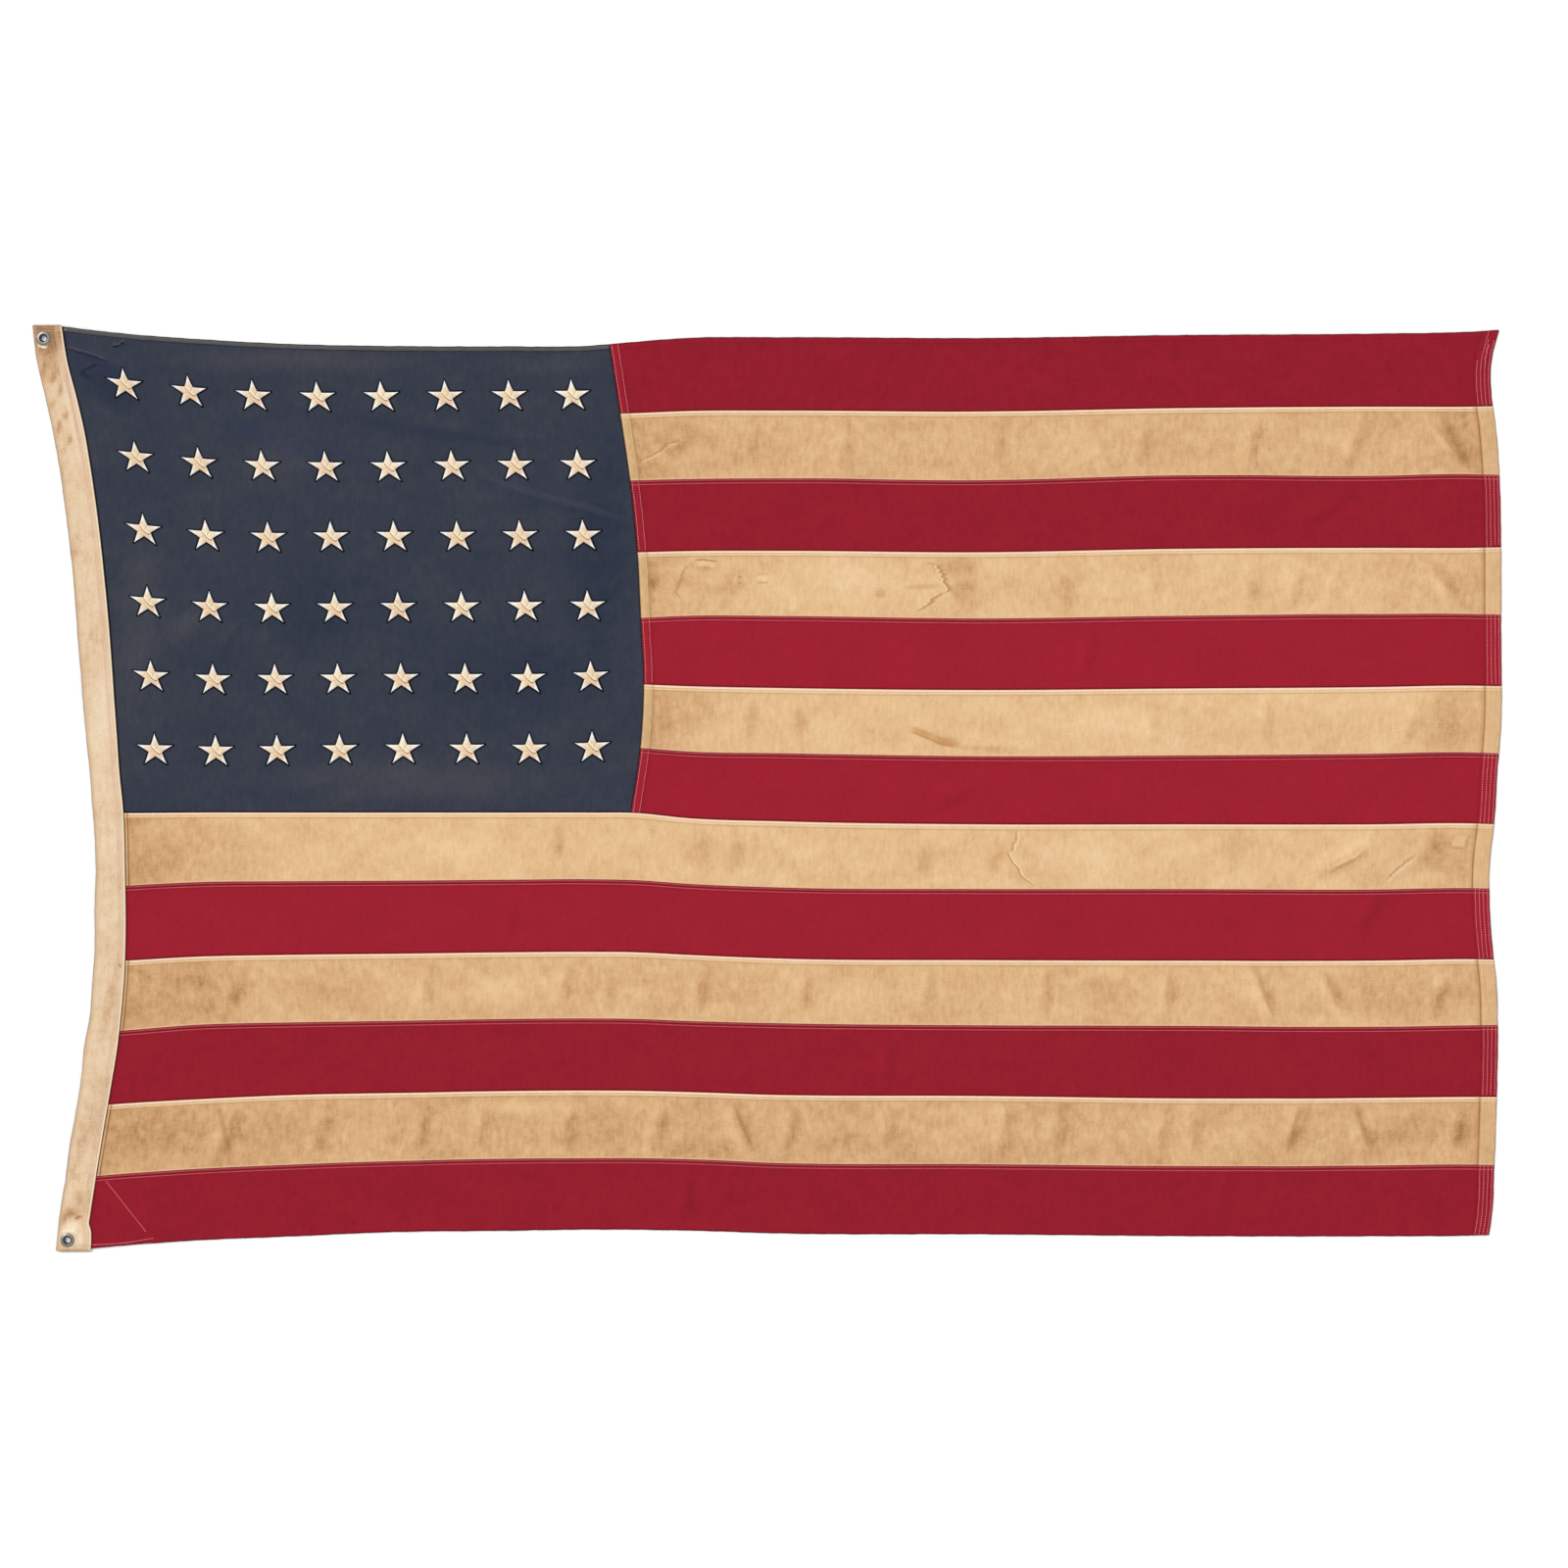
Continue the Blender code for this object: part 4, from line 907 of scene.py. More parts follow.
TOP_HEM_EDGES = {**RED_EDGES, "top": ((0.0, "#420A12", 0.92), (1.3, "#700F1C", 0.80), (3.0, "#8A1626", 0.35),
                                      (6.5, "#A42232", 0.25), (9.0, "#951A2A", 0.0))}
NAVY_EDGES = {
    "top": ((0.0, "#1E1E22", 0.95), (1.4, "#34322F", 0.80), (2.2, "#6A6560", 0.75), (6.6, "#5C5A58", 0.70),
            (7.6, "#2A2A2E", 0.70), (9.0, "#2C2D34", 0.45), (11.5, "#3A3D48", 0.0)),
    "hoist": ((0.0, "#08080A", 0.95), (2.2, "#14141A", 0.85), (4.2, "#2A2C36", 0.0)),
    "bottom": ((0.0, "#060606", 0.95), (1.8, "#100F12", 0.85), (3.4, "#2A2C36", 0.0)),
    "fly": ((0.0, "#121216", 0.85), (1.6, "#22242C", 0.60), (3.2, "#2E313C", 0.0)),
}
NAVY_MARKS = (
    (False, ((60, 349), (80, 359), (106, 369), (140, 381)), ((8.0, 8.0, 14.0, "#2B3050", 0.38),)),
    # painted shade along a crease, with a painted highlight above it
    (False, ((64, 354.3), (69.9, 356.6), (88.2, 361.5), (102.2, 366.4), (114, 371.2)),
     ((0.0, 0.7, 2.0, "#1A1A22", 0.70), (-3.6, 1.0, 2.6, "#55565E", 0.40))),
    # painted shade along a crease
    (False, ((83, 380.5), (91.7, 375.5), (102, 371.4)), ((0.0, 0.7, 1.8, "#1A1A20", 0.75),)),
    # painted shade along a pucker, with a painted highlight above it
    (False, ((113, 354.4), (121.1, 353.1), (125, 350.9), (130, 347.4)),
     ((0.0, 0.8, 1.5, "#121216", 0.85), (-3.0, 1.0, 2.0, "#5A5A60", 0.45))),
    (False, ((64.4, 336.9), (69.4, 336.7)), ((0.0, 0.9, 0.7, "#BBAE9C", 0.80),)),
    (False, ((86, 335.6), (90.5, 335.4)), ((0.0, 0.7, 0.8, "#8E877E", 0.70),)),
    (False, ((116.5, 339), (121, 338.9)), ((0.0, 0.8, 0.8, "#8E877E", 0.70),)),
    (False, ((470, 478), (540, 502), (600, 518), (655, 536)), ((0.0, 2.4, 7.0, "#474A57", 0.40),)),
    (False, ((200, 418), (260, 444), (330, 462), (400, 470)), ((0.0, 8.0, 18.0, "#2F3650", 0.35),)),
    (False, ((330, 424), (420, 440), (520, 452), (600, 450)), ((0.0, 3.0, 12.0, "#2B3148", 0.40),)),
)

# %% The three cottons
# ring is the colour of the painted shade round the stars
blue_cotton = cotton("navy_vat_dyed_cotton", ("#4C4C52", "#373C49", "#272E42"), 1.1, 0.28, NAVY_EDGES, NAVY_MARKS,
                     0.6, ring="#0A0908")
RED_DYE = ("#BE2638", "#9B1E2E", "#6C0E1E")
red_cotton = cotton("red_dyed_cotton", RED_DYE, 0.4, 0.24, RED_EDGES, thread=0.6)
hemmed_red_cotton = cotton("red_dyed_cotton_top_hem", RED_DYE, 0.4, 0.24, TOP_HEM_EDGES, thread=0.6)
tan_cottons = {number: cotton(f"aged_bare_cotton_{number:02d}", ("#FFE4B8", "#E5BC8C", "#CFA173", "#A97C50"), 0.9,
                              0.32, TAN_EDGES, marks) for number, marks in TAN_MARKS.items()}
print("cottons:", [material.name for material in (blue_cotton, red_cotton, hemmed_red_cotton, *tan_cottons.values())])

# %% [markdown]
# ## The stripes
#
# Each stripe is a strip of cloth whose upper edge laps over the one above and is sewn through twice. So its top 8 mm
# are three layers thick, its lower edge dips under the next stripe, and its fly end is turned twice into a hem. The
# thickness below follows that, with the folded edges rounded and the rows of stitches drawn down into the cloth.

# %% Thickness of a sewn strip
SEAM_ROWS = (1.6 * MM, 7.2 * MM)  # rows of stitches below a seam
FLY_STITCHES = (3.8 * MM, 10.5 * MM, 17.3 * MM, 24.0 * MM)  # from the fly edge
CANTON_STITCHES = (3.3 * MM, 14.0 * MM)  # from the canton edge
HEADING_STITCHES = (9 * MM, 12 * MM)  # from the heading's seam
END_STITCHES = 10 * MM  # from the heading's ends
SEAM_STEP, HEM_STEP, END_STEP = 1.4 * MM, 1.5 * MM, 2 * MM  # over which the thickness drops behind a band
LAPPED_FOLD = (1.3 * MM, 0.7 * MM)  # how far in an edge is rounded, and how far its rim drops
TUCKED_EDGE = (1.6 * MM, 0.5 * MM)
FLY_FOLD = (1.4 * MM, 0.9 * MM)
STRIPE_START = (1.0 * MM, 0.4 * MM)
CANVAS_FOLD = (3.0 * MM, 1.3 * MM)
CANVAS_EDGE = (1.6 * MM, 0.8 * MM)
CANVAS_TIP = (2.0 * MM, 1.1 * MM)
UPPER = [d * MM for d in (0.15, 0.7, 1.6, 2.8, 4.8, 7.2, 8.2, 9.4, 10.8)]
LOWER = [d * MM for d in (0.15, 0.6, 1.4, 2.6)]
FLY_SIDE = [d * MM for d in (0.1, 0.7, 1.8, 3.8, 6.6, 8.8, 10.5, 12.4, 15.2, 17.3, 19.4, 22.2, 24, 26, 27.6, 29.4, 32)]
CANTON_SIDE = [d * MM for d in (0.15, 0.7, 1.7, 3.3, 5.2, 8.5, 11.8, 14, 15.2, 17)]
HOIST_SIDE = [d * MM for d in (0.15, 0.8, 2, 4, 7)]


def groove(distance, rows, depth=0.22 * MM, half=1.3 * MM):
    """How deep the stitches draw the cloth down near their rows."""
    return sum(depth * soft_bump((distance - row) / half) for row in rows)


def rounded(distance, radius, drop):
    """How far a folded edge falls off toward its rim."""
    return drop * np.clip(1 - distance / radius, 0, 1) ** 2


def built_up(distance, width, step=SEAM_STEP):
    """1 in a band along an edge where the cloth is built up, 0 past the step behind it."""
    return 1 - ease(distance, width, width + step)


def strip_thickness(at, seam, long):
    """Thickness of a stripe at its points."""
    lap = built_up(at["top"], SEAM_BAND)
    thick = CLOTH + (LAPPED - CLOTH) * lap
    if seam == BOTTOM_SEAM - 1:
        thick = np.maximum(thick, CLOTH + (LAPPED - CLOTH) * built_up(at["bottom"], SEAM_BAND))
    if not long:
        thick = np.maximum(thick, CLOTH + (LAPPED - CLOTH) * built_up(at["left"], CANTON_BAND))
    hem = built_up(at["right"], FLY_HEM, HEM_STEP)
    thick = thick + (HEMMED - CLOTH) * hem * (1 - 0.4 * lap)
    thick = thick - groove(at["top"], SEAM_ROWS) - groove(at["right"], FLY_STITCHES)
    if not long:
        thick = thick - groove(at["left"], CANTON_STITCHES)
    thick = thick - rounded(at["top"], *LAPPED_FOLD) - rounded(at["bottom"], *TUCKED_EDGE)
    return thick - rounded(at["right"], *FLY_FOLD) - rounded(at["left"], *STRIPE_START)


# %% [markdown]
# The free edges of the flag aren't straight either. A hem that has been pulled and washed for years has small,
# irregular scallops, a third of a millimetre deep, which fade out within a finger's width of the edge.

# %% Ragged free edges
RAGGED = 0.36 * MM
RAGGED_DEPTH = 9 * MM


def scallops(along, start):
    """Small swings of a free edge, from -1 to 1."""
    lengths = (26 * MM, 47 * MM, 83 * MM)
    return sum(np.sin(along * 2 * np.pi / length + start * (k + 1)) for k, length in enumerate(lengths)) / 3


def rag(at, edge, start):
    """Moves the points near a free edge a little in or out."""
    near = np.exp(-at[edge] / RAGGED_DEPTH)
    sideways = edge in ("left", "right")
    swing = RAGGED * scallops(at["y"] if sideways else at["x"], start) * near
    key = "x" if sideways else "y"
    at[key] = at[key] + swing


# %% Make the thirteen stripes
def hoist_side(row):
    return smooth(HEADING_ROWS, HEADING_SEAM, row)


def canton_side(row):
    return smooth(CANTON_ROWS, CANTON_EDGE, row)


def fly_side(row):
    return smooth(FLY_ROWS, FLY_EDGE, row)


def seam_line(seam):
    """The seam as a function that gives its row at a column."""
    return lambda column: seam_row(seam, column)


SOILED_ALREADY = 1.8  # a stripe that is soiled all over shows its soiled ends less
sheets = {}
for seam in range(BOTTOM_SEAM):
    colour = "red" if seam % 2 == 0 else "tan"
    long = seam >= CANTON_SEAM
    node = f"{'long' if long else 'short'}_{colour}_{seam + 1:02d}"
    at = panel(seam_line(seam), seam_line(seam + 1), hoist_side if long else canton_side, fly_side,
               HOIST_SIDE if long else CANTON_SIDE, FLY_SIDE, UPPER, LOWER, CLOTH_PITCH)
    at["hoist" if long else "lap"] = at["left"]
    at["tone"] = TONES[seam + 1]
    if colour == "tan":
        for end, side in (("hoist" if long else "canton", "left"), ("fly", "right")):
            most, reach = END_SOIL[end]
            at["tone"] = at["tone"] + most * (1 - SOILED_ALREADY * TONES[seam + 1]) * np.exp(-at[side] / reach)
    if seam == 0:
        rag(at, "top", 1.0)
    if seam == BOTTOM_SEAM - 1:
        rag(at, "bottom", 2.0)
    rag(at, "right", 3.0)
    thick = strip_thickness(at, seam, long)
    material = (red_cotton if seam else hemmed_red_cotton) if colour == "red" else tan_cottons[seam + 1]
    sheets[node] = {"piece": sheet("cloth_" + node, at, thick, material), "at": at, "slot": f"{colour}_cotton",
                    "seam": seam, "long": long}
print("stripes:", {node: len(made["piece"].data.polygons) for node, made in sheets.items()})

# %% [markdown]
# ## The canton
#
# The blue panel is one piece of cloth with a hem along its top. Its two sides bow, and the short stripes' ends are
# lapped onto it. Its grid is a little finer than that of the stripes, for the sharp creases by the top eyelet. The
# stars' places are read as a table of 6 by 8, and each star's own directions come from its neighbours, because an
# embroidered star shears with the cloth that it is sewn to.

# %% The stars' places, and the canton's sheet
STAR_COLUMNS = np.array((
    (128, 193.5, 259, 324.5, 389.5, 455, 520, 584),
    (139, 203.5, 268, 332.5, 396.5, 461.5, 526, 590),
    (147, 210.5, 274, 338, 402.5, 467, 531, 595.5),
    (151, 214.5, 278, 342, 406.5, 471.5, 536, 600),
    (154.5, 218, 281, 345, 409.5, 475, 539, 603),
    (158.5, 220.5, 283, 347, 411.5, 476.5, 540.5, 604.5),
))
STAR_ROWS = np.array((
    (393, 400, 404.5, 406, 405.5, 405, 404.5, 404),
    (467, 473, 476, 477, 477, 476, 475.5, 475),
    (541, 547, 549, 548.5, 548, 548, 547.5, 547),
    (615, 620, 621.5, 621, 620.5, 620, 619.5, 619),
    (690.5, 694, 694, 693.5, 693, 693, 693, 691),
    (765.5, 767, 766.5, 765.5, 765, 765, 765, 763),
))
star_centres = place(STAR_COLUMNS, STAR_ROWS)
star_right = np.gradient(star_centres, axis=1)
star_up = -np.gradient(star_centres, axis=0)
star_right = (star_right / np.linalg.norm(star_right, axis=-1, keepdims=True)).reshape(-1, 2)
star_up = (star_up / np.linalg.norm(star_up, axis=-1, keepdims=True)).reshape(-1, 2)
star_centres = star_centres.reshape(-1, 2)
star_axes = np.stack([star_right * STAR_WIDE, star_up * STAR_TALL], axis=-1)  # one radius right, one radius up

at = panel(seam_line(0), seam_line(CANTON_SEAM), hoist_side, canton_side, HOIST_SIDE, LOWER, UPPER, LOWER,
           CANTON_PITCH, at=350.0)
at["hoist"] = at["left"]
rag(at, "top", 1.0)
thick = CLOTH + (LAPPED - CLOTH) * built_up(at["top"], SEAM_BAND)
thick = thick - groove(at["top"], SEAM_ROWS[1:]) - rounded(at["top"], *LAPPED_FOLD)
thick = thick - rounded(at["bottom"], *TUCKED_EDGE) - rounded(at["right"], *TUCKED_EDGE)
canton = sheet("cloth_canton", at, thick, blue_cotton)
away = np.stack([at["x"].ravel(), at["y"].ravel()], axis=-1)[:, None] - star_centres
nearest = np.argmin(np.linalg.norm(away, axis=-1), axis=1)
away = away[np.arange(len(nearest)), nearest]
local = np.linalg.solve(star_axes[nearest], away[..., None])[..., 0]
local = np.column_stack([local, np.linalg.norm(local, axis=-1)])
store(canton.data, "from_star", np.tile(local, (2, 1)))
sheets["canton"] = {"piece": canton, "at": at, "slot": "navy_cotton", "seam": 0, "long": False}
print("canton:", len(canton.data.polygons), "faces,", len(star_centres), "star places")

# %% [markdown]
# ## The heading
#
# The heading is a strip of cotton canvas, folded double over the hoist edge and turned in at both ends. It takes the
# whole load of the flag, so it is the stiffest piece, and it has puckered along its length where the cloth pulled on
# it. Its outer edge is a fold, round and dark along its rim. Its inner edge stands proud of the canton and catches
# light, painted into the canvas as a highlight, and its puckers have painted highlights and shade.

# %% The heading's sheet
HEADING_OUT = [d * MM for d in (0.1, 0.6, 1.4, 2.6, 4.2)]
HEADING_IN = [d * MM for d in (0.15, 0.8, 1.8, 3.2, 5.0)]
HEADING_TIPS = [d * MM for d in (0.1, 0.7, 1.8, 3.2)]
PUCKERS = (  # distance along, half length, distance from the outer edge, half width, height
    (95, 55, 36, 2.6, 0.55),
    (110, 70, 43, 2.2, 0.50),
    (85, 40, 29, 2.4, 0.35),
    (150, 60, 40, 2.8, 0.40),
    (235, 70, 14, 3.0, 0.35),
    (300, 60, 38, 2.8, 0.30),
    (420, 90, 44, 2.4, 0.35),
    (560, 80, 12, 3.0, 0.30),
    (700, 110, 43, 2.6, 0.35),
    (860, 90, 20, 3.2, 0.30),
    (1010, 90, 42, 2.6, 0.35),
    (1180, 80, 15, 3.0, 0.35),
    (1290, 90, 41, 2.6, 0.40),
    (1420, 70, 36, 2.6, 0.45),
    (1470, 50, 26, 2.6, 0.40),
)
CROSS_CREASES = ((985, 0.9), (1060, 1.0), (1100, 0.8), (560, 0.5), (780, 0.5), (1195, 0.7))  # row, height in mm
CORNER = 3.2 * MM  # the turned ends have rounded corners
CANVAS_GROOVE = 0.18 * MM
at = panel(lambda column: HEADING_ENDS[0] + 0 * column, lambda column: HEADING_ENDS[1] + 0 * column,
           lambda row: smooth(HEADING_ROWS, HEADING_OUTER, row), hoist_side,
           HEADING_OUT, HEADING_IN, HEADING_TIPS, HEADING_TIPS, HEADING_PITCH, at=80.0)
at["hoist"] = at["left"]
rag(at, "left", 4.0)
rag(at, "top", 5.0)
rag(at, "bottom", 6.0)
for side, end in ((side, end) for side in ("left", "right") for end in ("top", "bottom")):
    a, b = (np.clip(1 - at[edge] / CORNER, 0, 1) for edge in (side, end))
    at["x"] = at["x"] + (1 if side == "left" else -1) * CORNER * a * (1 - np.sqrt(1 - b * b / 2))
    at["y"] = at["y"] - (1 if end == "top" else -1) * CORNER * b * (1 - np.sqrt(1 - a * a / 2))
nearest_end = np.minimum(at["top"], at["bottom"])
thick = CANVAS + (CANVAS_END - CANVAS) * built_up(nearest_end, END_TURN, END_STEP)
for along, half_length, across, half_width, rise in PUCKERS:
    far = np.hypot((at["top"] / MM - along) / half_length, (at["left"] / MM - across) / half_width)
    thick = thick + rise * MM * soft_bump(far)
for row, rise in CROSS_CREASES:
    line = (MIDDLE_ROW - row) * PIXEL + 0.12 * (at["x"] - at["x"].mean())
    thick = thick + rise * MM * soft_bump((at["y"] - line) / (7 * MM))
for spot in EYELETS.values():
    centre = place(*spot)
    radius = np.hypot(at["x"] - centre[0], at["y"] - centre[1])
    angle = np.arctan2(at["y"] - centre[1], at["x"] - centre[0])
    thick = thick - 0.5 * MM * soft_bump(radius / (18 * MM))
    thick = thick + 0.3 * MM * np.cos(6 * angle) * soft_bump((radius - 18 * MM) / (9 * MM))
thick = thick - rounded(at["left"], *CANVAS_FOLD) - rounded(at["right"], *CANVAS_EDGE)
thick = thick - rounded(nearest_end, *CANVAS_TIP) - groove(at["right"], HEADING_STITCHES, CANVAS_GROOVE)
heading_at = at
print("heading:", at["x"].shape, "points a side")

# %% [markdown]
# The canvas is coarser than the flag's cloth, and its soil lies along it in streaks. Near the top it once had a
# stamped mark, long past reading; that place is finished here as plain, scattered staining.

# %% The heading's canvas, and its eyelet holes
CANVAS_EDGES = {
    "hoist": ((0.0, "#6E5A48", 0.90), (0.9, "#8A735C", 0.75), (2.6, "#C2A07C", 0.55), (6.0, "#D2AE88", 0.25),
              (10.0, "#E0BE98", 0.0)),
    "fly": ((0.0, "#7D5C46", 0.80), (0.6, "#EFD2AE", 0.70), (1.4, "#FFF4DC", 0.85), (2.8, "#FFEBCB", 0.60),
            (3.8, "#CDA585", 0.45), (5.0, "#D6B08C", 0.20), (8.4, "#DDB498", 0.20), (9.2, "#D6A68C", 0.50),
            (10.2, "#E6C4A4", 0.15), (11.8, "#D6A68C", 0.45), (13.0, "#DDB898", 0.15), (15.0, "#E0BE98", 0.0)),
    "top": ((0.0, "#5E4C3C", 0.90), (1.0, "#86705A", 0.70), (2.6, "#C29C76", 0.30), (7.0, "#D0A880", 0.0)),
    "bottom": ((0.0, "#7E6248", 0.85), (1.0, "#B08C68", 0.55), (2.4, "#D2AE86", 0.20), (8.8, "#D8B48C", 0.20),
               (10.0, "#BC946A", 0.50), (11.6, "#D8B48C", 0.0)),
}
CANVAS_MARKS = (
    (False, ((37.4, 351), (40, 353.2), (44, 354.7), (50.5, 354.8)), ((0.0, 1.3, 1.2, "#FFF2D8", 0.85),)),
    # painted highlights on the heading's puckers, with painted shade between them
    (True, ((61.5, 352), (66.5, 392), (74, 430), (82, 472)), ((0.0, 2.0, 4.0, "#F6DCC4", 0.50),
                                                              (5.6, 1.0, 3.0, "#D2A88C", 0.45),
                                                              (10.5, 1.2, 3.0, "#F8E2CA", 0.45))),
    (False, ((76.4, 1243.4), (80.5, 1242), (85, 1240.4)), ((0.0, 1.0, 1.6, "#A67446", 0.75),)),
    (False, ((60, 1258.6), (66, 1255.4), (74, 1255), (82, 1259)), ((0.0, 1.6, 2.6, "#FFF0D2", 0.70),)),
)
canvas = cotton("aged_cotton_canvas", ("#FFEFD4", "#EACDAA", "#CDA47C", "#9E7450"), 0.8, 0.32, CANVAS_EDGES,
                CANVAS_MARKS, 1.3)
heading = sheet("cloth_heading", heading_at, thick, canvas)
uncut = heading.data.copy()
for end, spot in EYELETS.items():
    bpy.ops.mesh.primitive_cylinder_add(vertices=48, radius=CANVAS_HOLE, depth=30 * MM, location=(*place(*spot), 0))
    punch = bpy.context.object
    cut = heading.modifiers.new("eyelet_hole", "BOOLEAN")
    cut.operation = "DIFFERENCE"
    cut.object = punch
    with bpy.context.temp_override(object=heading, active_object=heading):
        bpy.ops.object.modifier_apply(modifier=cut.name)
    bpy.data.objects.remove(punch)

# The cut clears what the points had stored, so each point takes it again from the nearest point before the cut.
known = KDTree(len(uncut.vertices))
for vertex in uncut.vertices:
    known.insert(vertex.co, vertex.index)
known.balance()
nearest = [known.find(vertex.co)[1] for vertex in heading.data.vertices]
kept = {}
for name in ("edges", "ends"):
    values = np.empty(len(uncut.vertices) * 3, np.float32)
    uncut.attributes[name].data.foreach_get("vector", values)
    kept[name] = values.reshape(-1, 3)[nearest]
    heading.data.attributes[name].data.foreach_set("vector", kept[name].ravel())
lay_weave(heading.data, np.column_stack([kept["ends"][:, 0], kept["edges"][:, 0]]))
sheets["heading"] = {"piece": heading, "at": heading_at, "slot": "aged_canvas", "seam": None, "long": False}
print("heading:", len(heading.data.polygons), "faces, attributes:", [a.name for a in heading.data.attributes][:8])

# %% [markdown]
# ## Eyelets
#
# A flag eyelet is a brass ring, stamped in two parts, plated, and clinched through the canvas: a domed flange in
# front, a barrel, and a flat flange behind. It is round, so half its section is drawn once and turned about the axis.

# %% Turn the two eyelets
FRONT = EYELET_LIFT + BACK_LIFT + CANVAS_END - 0.4 * MM
FLANGE_SECTION = ((4.8, -0.7), (4.9, -0.1), (5.3, 0.5), (6.1, 1.05), (7.2, 1.4), (8.4, 1.5), (9.7, 1.2), (10.9, 0.85),
                  (11.7, 0.5), (12.0, 0.2), (11.8, 0.0), (6.1, -0.1))  # radius and height over the canvas, in mm
BACK_SECTION = ((6.0, 1.25), (11.6, 1.2), (12.0, 0.9), (12.0, 0.4), (11.6, 0.05), (6.8, 0.0), (5.6, 0.12), (4.9, 0.6),
                (4.8, 1.2))  # radius and height over the surface
EYELET_SECTION = [(radius, FRONT / MM + rise) for radius, rise in FLANGE_SECTION] + list(BACK_SECTION)
EYELET_STEPS = 64


def turned(name, section, centre, steps, material):
    """A closed ring: the section turned about an upright axis."""
    angles = np.arange(steps) * 2 * np.pi / steps
    rings = np.array(section) * MM
    x = centre[0] + rings[:, 0, None] * np.cos(angles)
    y = centre[1] + rings[:, 0, None] * np.sin(angles)
    z = np.broadcast_to(rings[:, 1, None], x.shape)
    index = np.arange(x.size).reshape(x.shape)
    ahead, beside = np.roll(index, -1, axis=0), np.roll(index, -1, axis=1)
    faces = np.stack([index, ahead, np.roll(ahead, -1, axis=1), beside], axis=-1).reshape(-1, 4)
    ring = new_piece(name, np.stack([x, y, z], axis=-1), faces.tolist(), material)
    store(ring.data, "radius", np.repeat(rings[:, 0], steps))
    return ring


# %% [markdown]
# The plating is nickel over brass, dulled by a film of grey oxide, bright where cloth and cord rub it. Its throat is
# darkened with painted shade. A metal keeps its default refractive index. Its colour is its reflection, so most of
# the look is roughness.

# %% Dulled nickel plate
def dulled_nickel():
    """Nickel-plated brass with a worn, clouded surface."""
    material, tree, shader = new_material("dulled_nickel_plate")
    spot = add(tree, "TexCoord")["Object"]
    clouds = grain(tree, spot, 3 * MM, 3 * MM, 3.0, 0.65)
    pits = grain(tree, spot, 0.7 * MM, 0.7 * MM, 2.0)
    share = summed(tree, [(clouds, 0.35), (pits, 0.12), (0.45, 1.0)])
    share = add(tree, "Clamp", {}, {0: share})[0]
    colour = mixed(tree, share, linear("#A6A6A2"), linear("#6A6862"))
    radius = stored(tree, "radius", "Fac")
    # painted shade in the eyelet's throat
    throat_shade = band(tree, radius, (EYELET_BORE + EYELET_THROAT) / 2, 0.7 * MM, 0.9 * MM, 0.92)
    colour = mixed(tree, throat_shade, colour, linear("#24262B"))
    tree.links.new(colour, shader.inputs["Base Color"])
    tree.links.new(summed(tree, [(share, 0.25), (0.28, 1.0)]), shader.inputs["Roughness"])
    raised(tree, shader, [(pits, 0.03)])
    shader.inputs["Metallic"].default_value = 0.85
    return material


nickel = dulled_nickel()
eyelets = {}
for end, spot in EYELETS.items():
    eyelets[end] = turned(f"ring_eyelet_{end}", EYELET_SECTION, place(*spot), EYELET_STEPS, nickel)
print("eyelets:", [ring.name for ring in eyelets.values()], "top at",
      round(FRONT / MM + max(rise for radius, rise in FLANGE_SECTION), 2), "mm")

# %% [markdown]
# ## Embroidered stars
#
# Each star is five petals of satin stitch: long threads laid side by side across the petal, over a padding that makes
# it rise in the middle. A petal runs from a sharp tip to a blunt root just past the star's middle, and the petals were
# worked one after another, so each laps a little over the last, and the top one lies over them all. A flat star with a
# bump map would lose the way its facets catch light, so each petal is a small domed patch.

# %% One petal, and a star of five
PETAL_STEPS = 14
PETAL_WIDE = 8
ROOT = -0.13  # where a petal ends behind the star's middle, as a share of its radius
CROWN = 1.7 * MM
PETAL_ORDER = (4, 2, 0, 1, 3)  # height order of the petals: top, then anticlockwise
PETAL_TIP = 0.012  # half width at the tip, as a share of the radius
TIP_CROWN = 0.35  # how high the tip is, as a share of the crown
PETAL_LAP = 0.08  # how much higher each petal lies than the last, as a share of the crown
RIM_DROP = 0.4 * MM
BACK_CROWN = 0.2 * MM


def petal(order, rise):
    """Points of one petal, along +X from the star's middle, in radii and with a height in metres, and its marks."""
    share = np.linspace(ROOT, 1, PETAL_STEPS + 1)
    waist = STAR_WAIST * np.cos(TENTH_TURN)
    widest = STAR_WAIST * np.sin(TENTH_TURN)
    root = np.clip((share - ROOT) / (waist - ROOT), 0, 1)
    half = np.where(share < waist, widest * np.sqrt(root * (2 - root)), widest * (1 - share) / (1 - waist))
    half = np.maximum(half, PETAL_TIP)
    across = np.linspace(-1, 1, PETAL_WIDE + 1)
    x = np.broadcast_to(share[:, None], (PETAL_STEPS + 1, PETAL_WIDE + 1))
    y = half[:, None] * across
    dome = np.sqrt(np.clip(1 - across ** 2, 0, 1))
    crown = rise * (TIP_CROWN + (1 - TIP_CROWN) * np.clip((1 - share) / 0.6, 0, 1))
    z = crown[:, None] * dome + PETAL_LAP * rise * order * (1 - ease(share, 0.3, 0.5))[:, None]
    z = z - RIM_DROP * (np.abs(across) == 1)
    return x, y, z, np.stack([x, y, np.broadcast_to(np.abs(across), x.shape)], axis=-1)


